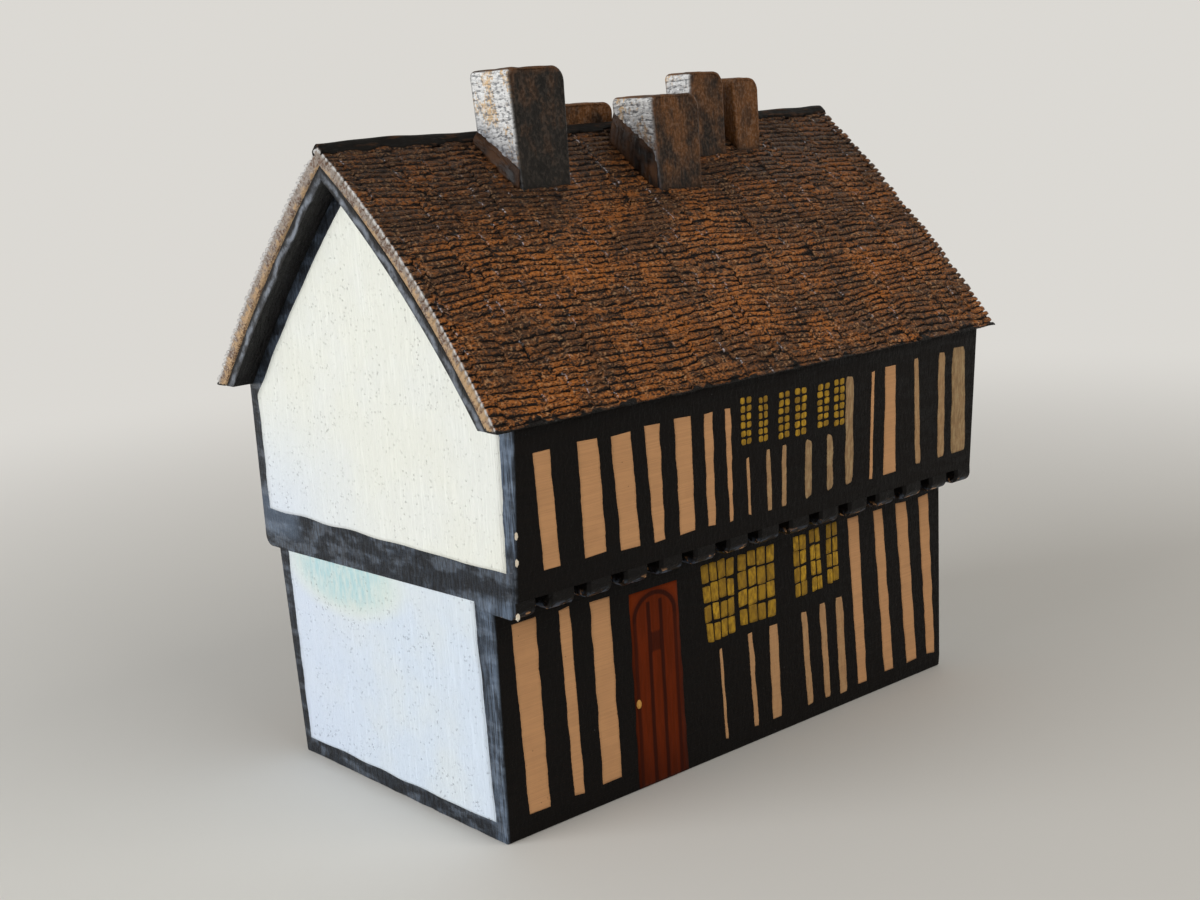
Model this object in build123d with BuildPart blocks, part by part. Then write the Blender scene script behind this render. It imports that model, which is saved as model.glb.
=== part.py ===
from build123d import *
from math import hypot, radians, tan
import os

# A model cottage, carved in wood and painted, in millimetres.
# X runs along the ridge, the front faces -Y and Z is up.
# The origin is the middle of the base, under the middle of the roof.

# Walls
wall_length = 129.2          # upper storey, from gable to gable
upper_depth = 87.3           # upper storey, front to back at its foot
front_lean = 2.6             # the upper front leans out this much from its foot to the eave
storey_height = 48.2         # top of the ground floor
front_jetty = 7.1            # overhang of the upper storey at the front
back_jetty = 5.2             # and at the back
right_jetty = 2.0            # and at the right gable; the left gable is flush
front_batter = 1.0           # the ground floor draws in this much at its foot
back_batter = 3.1

# Joist ends under the jetties
joist_count = 15
joist_gap = 3.0              # notch between two joist ends
joist_drop = 3.4             # height of a joist end
joist_nose_radius = 2.2      # rounded lower front edge
joist_chamfer = 0.6          # softened edges towards the notches
first_gap_inset = 6.3        # from a gable to the middle of the first notch

# Roof
ridge_height = 128.7
eave_height = 79.9
front_eave = 2.7             # overhang of the roof past the top of the upper front
back_eave = 5.5              # and past the upper back
left_verge = 4.8             # overhang past the left gable
right_verge = 3.1
front_crown = 2.8            # how far the front slope bellies out in its middle
back_crown = 1.4             # and the back slope
tile_thickness = 2.9
course_count = 7             # main courses of tiles on a slope
course_step = 0.9            # how far the butts of a course stand over the one below
board_thickness = 2.2        # black board under the tiles
board_setback = 0.2          # board ends behind the tile layer's ends

# Ridge strip, let into a groove along the top
strip_width = 2.6
strip_height = 1.3

# Chimneys: the rise is from the ridge to the top, the setback is from the ridge line to
# the nearest face, and the place is the middle, as a share of the wall from the left gable
chimney_draft_angle = 4.0    # degrees, the left faces lean out upwards
chimney_corner_radius = 2.2  # top corners, seen from the front
chimney_edge_radius = 0.6    # front and back edges
left_chimney_width = 14.1
left_chimney_depth = 12.4
left_chimney_rise = 11.9
left_chimney_setback = 1.8
left_chimney_place_share = 0.282
middle_chimney_width = 13.4
middle_chimney_depth = 12.3
middle_chimney_rise = 5.1
middle_chimney_setback = 4.6
middle_chimney_place_share = 0.541
tall_chimney_width = 10.2
tall_chimney_depth = 7.9
tall_chimney_rise = 9.3
tall_chimney_setback = 2.4
tall_chimney_place_share = 0.662
right_chimney_width = 8.3
right_chimney_depth = 7.3
right_chimney_rise = 7.6
right_chimney_setback = 2.4
right_chimney_place_share = 0.756
back_chimney_width = 18.6
back_chimney_depth = 8.6
back_chimney_rise = 4.4
back_chimney_setback = 1.8
back_chimney_place_share = 0.465

# Places that follow from the sizes above
roof_length = left_verge + wall_length + right_verge
roof_left = -roof_length / 2
wall_left = roof_left + left_verge
wall_right = wall_left + wall_length
ground_length = wall_length - right_jetty
half_roof = (front_eave + front_lean + upper_depth + back_eave) / 2
upper_front = front_eave + front_lean - half_roof
upper_back = half_roof - back_eave
ground_front = upper_front + front_jetty
ground_back = upper_back - back_jetty
joist_foot = storey_height - joist_drop
roof_rise = ridge_height - eave_height
slope_length = hypot(half_roof, roof_rise)
slope_cos = half_roof / slope_length
slope_sin = roof_rise / slope_length
half_strip = strip_width / 2
strip_seat = ridge_height - strip_height

FRONT = -1
BACK = 1


def ground_wall(side, z):
    """Place of the battered front or back ground floor wall at height z."""
    top = ground_front if side == FRONT else ground_back
    batter = front_batter if side == FRONT else back_batter
    return top - side * batter * (storey_height - z) / storey_height


def roof_curve(side, depth):
    """Ridge end, middle and eave end of a slope's curve, this deep under its outer surface.

    The outer curve bellies out from the chord between ridge and eave, and
    deeper ones are the same curve, moved in square to that chord.
    """
    crown = (front_crown if side == FRONT else back_crown) - depth
    inset_y = -side * depth * slope_sin
    inset_z = -depth * slope_cos
    return (
        (inset_y, ridge_height + inset_z),
        (
            side * (half_roof / 2 + crown * slope_sin),
            (ridge_height + eave_height) / 2 + crown * slope_cos,
        ),
        (side * half_roof + inset_y, eave_height + inset_z),
    )


def slope_line(side, depth):
    """The curve of a slope, this deep under its outer surface."""
    return ThreePointArc(*roof_curve(side, depth), mode=Mode.PRIVATE)


def tile_line(side):
    """Outline of the tiles from ridge to eave: each course climbs to its butts, then steps in."""
    butts = slope_line(side, 0)
    seats = slope_line(side, course_step)
    points = [butts @ 0]
    for course in range(1, course_count):
        place_share = course / course_count
        points += [butts @ place_share, seats @ place_share]
    return Polyline(*points, butts @ 1, mode=Mode.PRIVATE)


def save(piece, name):
    """Label a finished piece and write it as one STEP file."""
    piece.label = name
    export_step(piece, f"parts/{name}.step")


os.makedirs("parts", exist_ok=True)

# Ground floor: a battered block, drawn as its gable outline
with BuildPart() as ground_floor:
    with BuildSketch(Plane.YZ.offset(wall_left)):
        with BuildLine():
            Polyline(
                (ground_wall(FRONT, 0), 0),
                (ground_wall(BACK, 0), 0),
                (ground_wall(BACK, storey_height), storey_height),
                (ground_wall(FRONT, storey_height), storey_height),
                close=True,
            )
        make_face()
    extrude(amount=ground_length)
save(ground_floor.part, "ground_floor")

# Upper floor: the jettied block with both gables, cut off along the underside of the roof
with BuildPart() as upper_floor:
    with BuildSketch(Plane.YZ.offset(wall_left)):
        with Locations((0, eave_height)):
            Rectangle(2 * half_roof, roof_rise, align=(Align.CENTER, Align.MIN))
        for side in (FRONT, BACK):
            top, middle, foot = roof_curve(side, tile_thickness + board_thickness)
            with BuildLine():
                ThreePointArc(top, middle, foot)
                Polyline(
                    foot,
                    (side * half_roof, foot[1]),
                    (side * half_roof, ridge_height),
                    (top[0], ridge_height),
                    top,
                )
            make_face(mode=Mode.SUBTRACT)
        with BuildLine():
            Polyline(
                (upper_front, storey_height),
                (upper_back, storey_height),
                (upper_back, eave_height),
                (upper_front - front_lean, eave_height),
                close=True,
            )
        make_face()
    extrude(amount=wall_length)
save(upper_floor.part, "upper_floor")


def joist_span(index):
    """Left and right faces of a joist end: notches at even pitch, ends flush with the gables."""
    pitch = (wall_length - 2 * first_gap_inset) / (joist_count - 2)
    first_gap = wall_left + first_gap_inset
    left = first_gap + (index - 1) * pitch + joist_gap / 2
    right = first_gap + index * pitch - joist_gap / 2
    return (wall_left if index == 0 else left, wall_right if index == joist_count - 1 else right)


def joist_end(side, index):
    """One bull-nosed joist end, under the jetty and against the ground floor wall."""
    left, right = joist_span(index)
    tip = upper_front if side == FRONT else upper_back
    nose_y = tip - side * joist_nose_radius
    nose_z = joist_foot + joist_nose_radius
    with BuildPart() as joist:
        with BuildSketch(Plane.YZ.offset(left)):
            with BuildLine():
                CenterArc((nose_y, nose_z), joist_nose_radius, 270, 90 * side)
                Polyline(
                    (nose_y, joist_foot),
                    (ground_wall(side, joist_foot), joist_foot),
                    (ground_wall(side, storey_height), storey_height),
                    (tip, storey_height),
                    (tip, nose_z),
                )
            make_face()
        extrude(amount=right - left)
        notch_faces = joist.faces().filter_by(Axis.X).sort_by(Axis.X)
        if index == 0:
            notch_faces = notch_faces[1:]
        if index == joist_count - 1:
            notch_faces = notch_faces[:1]
        nose_edges = notch_faces.edges().filter_by(GeomType.CIRCLE)
        tip_edges = notch_faces.edges().filter_by(Axis.Z).filter_by_position(Axis.Y, tip, tip)
        chamfer(nose_edges + tip_edges, length=joist_chamfer)
    return joist.part


for index in range(joist_count):
    save(joist_end(FRONT, index), f"joist_end_{index + 1:02d}")

# The joist ends under the back jetty stand apart from each other and share one node
save(Compound(children=[joist_end(BACK, index) for index in range(joist_count)]), "back_joist_ends")


def roof_layer(side, upper, lower, left, length):
    """A layer of one slope between two lines, mitred at the ridge, cut level at the eave, from left."""
    with BuildPart() as layer:
        with BuildSketch(Plane.YZ.offset(left)):
            with BuildLine():
                add([upper, lower])
                Line(upper @ 1, lower @ 1)
                Line(lower @ 0, upper @ 0)
            make_face()
            with Locations((-side * half_roof / 2, ridge_height)):
                Rectangle(half_roof, roof_rise, mode=Mode.SUBTRACT)
            with Locations((0, eave_height)):
                Rectangle(2 * half_roof, roof_rise, align=(Align.CENTER, Align.MAX), mode=Mode.SUBTRACT)
        extrude(amount=length)
    return layer.part


def roof_tiles(side):
    """Tile layer of one slope, grooved at the ridge for the strip."""
    layer = roof_layer(side, tile_line(side), slope_line(side, tile_thickness), roof_left, roof_length)
    with BuildPart() as tiles:
        add(layer)
        with BuildSketch(Plane.YZ.offset(roof_left)):
            with Locations((0, ridge_height)):
                Rectangle(strip_width, 2 * strip_height)
        extrude(amount=roof_length, mode=Mode.SUBTRACT)
    return tiles.part


def roof_board(side):
    """Board of one slope, between the gables and the underside of the tiles."""
    upper = slope_line(side, tile_thickness)
    lower = slope_line(side, tile_thickness + board_thickness)
    return roof_layer(side, upper, lower, roof_left + board_setback, roof_length - 2 * board_setback)


for side, name in ((FRONT, "front"), (BACK, "back")):
    save(roof_board(side), f"roof_board_{name}")
    save(roof_tiles(side), f"roof_tiles_{name}")

# Ridge strip: black, round on top, in the groove between the tile layers
with BuildPart() as ridge_strip:
    with BuildSketch(Plane.YZ.offset(roof_left)):
        with BuildLine():
            ThreePointArc((-half_strip, strip_seat), (0, ridge_height), (half_strip, strip_seat))
            Line((half_strip, strip_seat), (-half_strip, strip_seat))
        make_face()
    extrude(amount=roof_length)
save(ridge_strip.part, "ridge_strip")

# Everything under the outer roof surface, which the chimneys are coped to
with BuildPart() as roof_envelope:
    with BuildSketch(Plane.YZ.offset(roof_left)):
        with BuildLine():
            add([tile_line(FRONT), tile_line(BACK)])
            Polyline((half_roof, eave_height), (half_roof, 0), (-half_roof, 0), (-half_roof, eave_height))
        make_face()
    extrude(amount=roof_length)


def chimney(side, width, depth, rise, setback, place_share):
    """A chimney on one slope, its foot cut to the tiles it stands on."""
    middle = wall_left + place_share * wall_length
    left = middle - width / 2
    right = middle + width / 2
    top = ridge_height + rise
    lean = (top - eave_height) * tan(radians(chimney_draft_angle))
    back = -setback if side == FRONT else setback + depth
    with BuildPart() as stack:
        with BuildSketch(Plane.XZ.offset(-back)) as outline:
            with BuildLine():
                Polyline(
                    (left + lean, eave_height), (left, top), (right, top), (right, eave_height), close=True
                )
            make_face()
            fillet(outline.vertices().group_by(Axis.Y)[-1], radius=chimney_corner_radius)
        extrude(amount=depth)
        rim_edges = stack.faces().filter_by(Axis.Y).edges().sort_by(Axis.Z)[2:]
        fillet(rim_edges, radius=chimney_edge_radius)
        add(roof_envelope.part, mode=Mode.SUBTRACT)
    return stack.part


chimneys = {
    "left": (
        FRONT, left_chimney_width, left_chimney_depth, left_chimney_rise,
        left_chimney_setback, left_chimney_place_share,
    ),
    "middle": (
        FRONT, middle_chimney_width, middle_chimney_depth, middle_chimney_rise,
        middle_chimney_setback, middle_chimney_place_share,
    ),
    "tall": (
        FRONT, tall_chimney_width, tall_chimney_depth, tall_chimney_rise,
        tall_chimney_setback, tall_chimney_place_share,
    ),
    "right": (
        FRONT, right_chimney_width, right_chimney_depth, right_chimney_rise,
        right_chimney_setback, right_chimney_place_share,
    ),
    "back": (
        BACK, back_chimney_width, back_chimney_depth, back_chimney_rise,
        back_chimney_setback, back_chimney_place_share,
    ),
}
for name, sizes in chimneys.items():
    save(chimney(*sizes), f"chimney_{name}")
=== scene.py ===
"""A carved and painted wooden model cottage: its finishes and hand work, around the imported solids.

Everything is in metres, in the solids' own frame: X runs along the ridge, the front faces -Y, Z is up.
Each operator makes one group of pieces, and main() runs them in order.
"""

import math

import bmesh
import bpy
import numpy as np
from bpy.props import FloatProperty, FloatVectorProperty, IntProperty, PointerProperty
from bpy.types import Operator, Panel, PropertyGroup
from mathutils import Matrix, Vector


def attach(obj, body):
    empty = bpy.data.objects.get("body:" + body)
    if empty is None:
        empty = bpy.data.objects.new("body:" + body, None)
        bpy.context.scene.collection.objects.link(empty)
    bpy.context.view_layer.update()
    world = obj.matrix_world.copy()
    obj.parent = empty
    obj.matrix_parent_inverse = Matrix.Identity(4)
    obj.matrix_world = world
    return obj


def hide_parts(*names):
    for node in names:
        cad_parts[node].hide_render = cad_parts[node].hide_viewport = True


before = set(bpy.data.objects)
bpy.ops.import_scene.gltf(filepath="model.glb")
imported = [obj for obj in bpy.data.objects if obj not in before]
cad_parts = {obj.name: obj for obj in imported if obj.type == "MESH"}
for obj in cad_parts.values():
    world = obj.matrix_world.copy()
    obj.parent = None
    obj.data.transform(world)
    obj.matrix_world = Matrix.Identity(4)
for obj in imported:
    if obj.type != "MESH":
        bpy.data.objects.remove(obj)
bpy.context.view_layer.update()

bl_info = {
    "name": "Model Cottage",
    "version": (1, 0, 0),
    "blender": (4, 5, 0),
    "location": "3D View > Sidebar > Cottage",
    "description": "Carved tiles, bricks and paint of a small wooden model cottage",
    "category": "Object",
}

MM = 0.001
FRONT, BACK = -1, 1
# Points along a side of the lattice of heights that mottle() repeats
LATTICE = 97
JOISTS = sorted(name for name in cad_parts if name.startswith("joist_end_"))


def vertices(node):
    """All corners of a CAD node's mesh, as rows of an array."""
    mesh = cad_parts[node].data
    flat = np.empty(len(mesh.vertices) * 3, np.float32)
    mesh.vertices.foreach_get("co", flat)
    return flat.reshape(-1, 3).astype(float)


def tint(name, description, default):
    """A colour property, written as it looks on a screen."""
    return FloatVectorProperty(
        name=name, description=description, default=default, subtype="COLOR_GAMMA", size=3, min=0, max=1
    )


def size(name, description, default):
    """A length property; the default is given in millimetres."""
    return FloatProperty(
        name=name, description=description, default=default * MM,
        subtype="DISTANCE", unit="LENGTH", precision=5,
    )


class CottagePaint(PropertyGroup):
    """Colours of the paints, the bare wood and the varnish."""

    timber_black: tint("Timber black", "Paint on the timbers", (0.052, 0.042, 0.037))
    # Dust and wear on the black, with a painted bluish sheen of the window light
    timber_dust_and_sheen: tint("Timber dust", "Dust and wear on the black", (0.42, 0.48, 0.56))
    gable_cream: tint("Gable cream", "Paint of the upper gable panels", (0.945, 0.95, 0.925))
    # White paint with a painted cool tint of the window light
    gable_white_cool_light: tint("Gable cool white", "Paint of the lower gable panels", (0.865, 0.91, 0.965))
    gable_stain: tint("Gable stain", "Stain near the top of a lower gable panel", (0.60, 0.81, 0.85))
    bare_wood: tint("Bare wood", "Wood between the black timbers", (0.80, 0.60, 0.42))
    grey_wood: tint("Grey wood", "Painted wood of the thin stripes", (0.62, 0.51, 0.37))
    pane_yellow: tint("Pane yellow", "Painted window panes", (0.78, 0.61, 0.17))
    door_red: tint("Door red", "Painted door", (0.43, 0.15, 0.02))
    door_line: tint("Door line", "Arch and plank lines on the door", (0.16, 0.045, 0.02))
    knob_yellow: tint("Knob yellow", "Painted door knob", (0.82, 0.60, 0.26))
    tile_orange: tint("Tile orange", "Raised parts of the tiles, at their warmest", (0.70, 0.42, 0.18))
    tile_brown: tint("Tile brown", "Raised parts of the tiles, at their darkest", (0.41, 0.27, 0.165))
    # Dark stain in the recesses, with painted shade there and near the ridge
    tile_dark_and_shade: tint("Tile dark", "Recesses between the tiles", (0.078, 0.046, 0.030))
    # A painted glint of the window light on the left edges of some tiles
    tile_glint: tint("Tile glint", "Worn varnish on the left edges of some tiles", (0.78, 0.80, 0.86))
    verge_tan: tint("Verge tan", "Bare ends of the tile layer", (0.77, 0.635, 0.48))
    verge_grey: tint("Verge grey", "Worn ends of the tile layer", (0.63, 0.58, 0.54))
    # Painted glints along the teeth of the rim
    verge_rim_glint: tint("Verge rim", "Teeth along the rim of the tile layer", (0.86, 0.85, 0.84))
    # A painted highlight along the lower edge of the boards' ends
    soffit_highlight: tint("Soffit grey", "Worn gloss along the edges of the boards", (0.52, 0.55, 0.60))
    ridge_black: tint("Ridge black", "Paint along the ridge", (0.062, 0.049, 0.038))
    brick_pale: tint("Brick pale", "Carved bricks of the chimneys", (0.97, 0.965, 0.96))
    brick_warm: tint("Brick warm", "Warm patches of the bricks", (0.92, 0.78, 0.60))
    brick_blue: tint("Brick blue", "Lower bricks", (0.25, 0.285, 0.365))
    stack_grey: tint("Stack grey", "Smooth sides of the chimneys", (0.17, 0.155, 0.14))
    stack_brown: tint("Stack brown", "Warm patches of the chimneys", (0.46, 0.30, 0.165))


class CottageCarving(PropertyGroup):
    """Sizes of the knife work and of the paint films."""

    courses: IntProperty(
        name="Tile courses", description="Rows of tiles on a slope", default=47, min=4, subtype="UNSIGNED"
    )
    columns: IntProperty(
        name="Tile columns", description="Grid columns along a slope", default=400, min=50, subtype="UNSIGNED"
    )
    tile_width: size("Tile width", "Mean width of a tile", 4.9)
    tile_relief: size("Tile relief", "Depth of the recess under a course", 0.65)
    tile_groove: size("Tile groove", "Half width of the cut between two tiles", 0.28)
    belly_change: size("Belly change", "How much flatter a slope is at its right end", 1.5)
    ridge_width: size("Ridge width", "Black ridge, down each slope", 2.0)
    ridge_proud: size("Ridge proud", "Height of the ridge over the tiles", 0.25)
    brick_width: size("Brick width", "Mean width of a carved brick", 1.6)
    brick_course: size("Brick course", "Height of a course of bricks", 1.45)
    brick_relief: size("Brick relief", "Depth of the joints between bricks", 0.24)
    stack_corner: size("Stack corner", "Rounding of a chimney's top corners", 2.9)
    stack_edge: size("Stack edge", "Rounding of a chimney's front and back edges", 0.5)
    wall_edge: size("Wall edge", "Worn rounding of the walls' edges", 0.45)
    film: size("Paint film", "Thickness of a painted patch", 0.06)
    sink: size("Sink", "How far patches and chimneys reach into what carries them", 0.3)


class CottageStage(PropertyGroup):
    """Camera and light."""

    lens: FloatProperty(name="Lens", description="Focal length", default=49.92, subtype="DISTANCE_CAMERA")
    azimuth: FloatProperty(
        name="Azimuth", description="Camera's turn round the model",
        default=math.radians(-40.08), subtype="ANGLE",
    )
    elevation: FloatProperty(
        name="Elevation", description="Camera's tilt down", default=math.radians(11.89), subtype="ANGLE"
    )
    roll: FloatProperty(
        name="Roll", description="Camera's turn about its view", default=math.radians(-3.68), subtype="ANGLE"
    )
    camera_place: FloatVectorProperty(
        name="Camera place", description="Where the camera stands", size=3,
        default=(-0.2314, -0.2685, 0.1337), subtype="TRANSLATION", unit="LENGTH",
    )
    key_power: FloatProperty(
        name="Key power", description="Soft window at the left", default=6.0, unit="POWER"
    )
    fill_power: FloatProperty(
        name="Fill power", description="Wide light from the front", default=4.6, unit="POWER"
    )
    sky: FloatProperty(name="Sky", description="Even light from all round", default=0.34, subtype="FACTOR")
    floor_tint: tint("Floor", "Plain pale floor", (0.86, 0.85, 0.83))


# Shapes


class Slope:
    """One roof slope, read from its tile layer and board.

    A point is on the straight line from ridge to eave, plus a parabola's belly square to that line,
    less a depth under the surface. Nothing passes the upright plane through the ridge.
    """

    def __init__(self, side, name):
        tiles = vertices(f"roof_tiles_{name}")
        self.side = side
        self.left, self.right = tiles[:, 0].min(), tiles[:, 0].max()
        self.ridge = np.array([0.0, vertices("ridge_strip")[:, 2].max()])
        self.eave = tiles[(side * tiles[:, 1]).argmax(), 1:]
        self.chord = self.eave - self.ridge
        self.length = np.hypot(*self.chord)
        self.outward = np.array([-self.chord[1] * side, abs(self.chord[0])]) / self.length
        self.crown = ((tiles[:, 1:] - self.ridge) @ self.outward).max()
        self.tile_depth = self.depth_of(tiles).max()
        self.board_depth = self.depth_of(vertices(f"roof_board_{name}")).max()

    def depth_of(self, points):
        """How far points are under the outer surface."""
        share = (points[:, 1:] - self.ridge) @ self.chord / self.length**2
        return 4 * self.crown * share * (1 - share) - (points[:, 1:] - self.ridge) @ self.outward

    def point(self, x, share, depth, belly_change=0.0):
        """Points at x, at a share of the way from ridge to eave and at a depth, as whole arrays."""
        x, share, depth = np.broadcast_arrays(x, share, depth)
        along = (x - self.left) / (self.right - self.left)
        crown = self.crown + belly_change * (0.35 - along)
        off = 4 * crown * share * (1 - share) - depth
        y = self.ridge[0] + share * self.chord[0] + off * self.outward[0]
        z = self.ridge[1] + share * self.chord[1] + off * self.outward[1]
        return np.stack([x, self.side * np.maximum(self.side * y, 0), z], axis=-1)

    def height_at(self, y, depth=0.0):
        """Height of the surface, or of a layer under it, at places across the roof."""
        share = np.linspace(0, 1, 200)
        line = self.point(0.0, share, depth)
        reach = self.side * line[:, 1]
        return np.interp(self.side * np.asarray(y), reach, line[:, 2])

    def reach_at(self, z, depth=0.0):
        """How far from the ridge plane the surface, or a layer under it, is at heights z."""
        share = np.linspace(0, 1, 200)
        line = self.point(0.0, share, depth)
        return np.interp(-np.asarray(z), -line[:, 2], self.side * line[:, 1])


class Face:
    """A flat painted face: shares along it and up it, and a lift off it, give a point."""

    def __init__(self, foot_left, foot_right, head_left):
        self.origin = np.array(foot_left)
        self.along = np.array(foot_right) - self.origin
        self.up = np.array(head_left) - self.origin
        outward = np.cross(self.along, self.up)
        self.outward = outward / np.linalg.norm(outward)
        self.length = np.linalg.norm(self.along)
        self.height = np.linalg.norm(self.up)

    def at(self, along, up, lift):
        """Points of the face, as whole arrays."""
        along, up, lift = (np.asarray(a, float)[..., None] for a in np.broadcast_arrays(along, up, lift))
        return self.origin + along * self.along + up * self.up + lift * self.outward


class Shape:
    """Points, quads, many-cornered faces and point attributes of one piece, gathered from whole arrays."""

    def __init__(self):
        self.points, self.quads, self.rings, self.marks, self.count = [], [], [], {}, 0

    def add(self, points, **marks):
        """Adds an array of points with their attributes and gives back their numbers, in its shape."""
        shape = points.shape[:-1]
        number = int(np.prod(shape))
        self.points.append(points.reshape(-1, 3))
        for name, values in marks.items():
            flat = np.broadcast_to(values, shape).reshape(-1)
            self.marks.setdefault(name, []).append(flat)
        self.count += number
        return np.arange(self.count - number, self.count).reshape(shape)

    def weave(self, index):
        """Quads over a grid of point numbers."""
        quads = np.stack([index[:-1, :-1], index[:-1, 1:], index[1:, 1:], index[1:, :-1]], axis=-1)
        self.quads.append(quads.reshape(-1, 4))

    def slab(self, outer, inner, **marks):
        """Two grids of points of one shape, joined round their borders into a closed shell."""
        top, under = self.add(outer, **marks), self.add(inner, **marks)
        self.weave(top)
        self.weave(under[:, ::-1])
        for a, b in ((top[0], under[0]), (top[-1][::-1], under[-1][::-1]),
                     (top[:, 0][::-1], under[:, 0][::-1]), (top[:, -1], under[:, -1])):
            self.weave(np.stack([b, a]))

    def piece(self, name, finish, replaces=()):
        """Makes the mesh object, with its normals outwards, and puts it on the part's body."""
        points = np.concatenate(self.points)
        quads = np.concatenate(self.quads)
        corners = np.concatenate([quads.ravel(), *self.rings]).astype(np.int32)
        sides = np.concatenate([np.full(len(quads), 4), [len(ring) for ring in self.rings]]).astype(np.int32)
        mesh = bpy.data.meshes.new(name)
        mesh.vertices.add(len(points))
        mesh.vertices.foreach_set("co", points.astype(np.float32).ravel())
        mesh.loops.add(len(corners))
        mesh.loops.foreach_set("vertex_index", corners)
        mesh.polygons.add(len(sides))
        mesh.polygons.foreach_set("loop_start", (np.cumsum(sides) - sides).astype(np.int32))
        mesh.update(calc_edges=True)
        for mark, values in self.marks.items():
            layer = mesh.attributes.new(mark, "FLOAT", "POINT")
            layer.data.foreach_set("value", np.concatenate(values).astype(np.float32))
        build = bmesh.new()
        build.from_mesh(mesh)
        bmesh.ops.recalc_face_normals(build, faces=build.faces)
        build.to_mesh(mesh)
        build.free()
        mesh.polygons.foreach_set("use_smooth", np.full(len(mesh.polygons), True))
        mesh.materials.append(finish)
        made = bpy.data.objects.new(name, mesh)
        bpy.context.scene.collection.objects.link(made)
        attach(made, "root")
        if replaces:
            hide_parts(*replaces)


def ripple(place, seed, waves=6):
    """Smooth wander along a line: a sum of sines of seeded pitch and phase, mostly between -1 and 1."""
    rng = np.random.default_rng(seed)
    pitch, phase = rng.uniform(0.4, 1.6, waves), rng.uniform(0, 2 * np.pi, waves)
    return np.sin(2 * np.pi * np.asarray(place)[..., None] * pitch + phase).sum(-1) / math.sqrt(2 * waves)


def mottle(u, v, seed):
    """Smooth patches over a plane: seeded heights on a unit lattice, eased between its points."""
    lattice = np.random.default_rng(seed).uniform(-1, 1, (LATTICE, LATTICE))
    u, v = np.broadcast_arrays(u, v)
    i, j = np.floor(u).astype(int), np.floor(v).astype(int)
    a, b = u - i, v - j
    a, b = a * a * (3 - 2 * a), b * b * (3 - 2 * b)
    i, j, k, m = i % LATTICE, j % LATTICE, (i + 1) % LATTICE, (j + 1) % LATTICE
    near = lattice[i, j] * (1 - a) + lattice[k, j] * a
    far = lattice[i, m] * (1 - a) + lattice[k, m] * a
    return near * (1 - b) + far * b


# Shader maths


def linear(colour):
    """A colour as written on a screen, as the light values a shader takes."""
    return tuple(c / 12.92 if c <= 0.04045 else ((c + 0.055) / 1.055) ** 2.4 for c in colour) + (1.0,)


class Shade:
    """A socket of a finish. Arithmetic on it adds Math nodes."""

    def __init__(self, finish, socket):
        self.finish, self.socket = finish, socket

    def math(self, operation, *values):
        return self.finish.node("ShaderNodeMath", {"operation": operation}, dict(enumerate(values)))

    def __add__(self, other):
        return self.math("ADD", self, other)

    def __radd__(self, other):
        return self.math("ADD", other, self)

    def __sub__(self, other):
        return self.math("SUBTRACT", self, other)

    def __rsub__(self, other):
        return self.math("SUBTRACT", other, self)

    def __mul__(self, other):
        return self.math("MULTIPLY", self, other)

    def __rmul__(self, other):
        return self.math("MULTIPLY", other, self)

    def __truediv__(self, other):
        return self.math("DIVIDE", self, other)

    def __pow__(self, other):
        return self.math("POWER", self, other)

    def __abs__(self):
        return self.math("ABSOLUTE", self)

    def ease(self, low, high):
        """0 below low and 1 above high, eased between; low may be the greater one."""
        return self.finish.node(
            "ShaderNodeMapRange", {"interpolation_type": "SMOOTHSTEP"},
            {"Value": self, "From Min": low, "From Max": high, "To Min": 0.0, "To Max": 1.0},
        )


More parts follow.
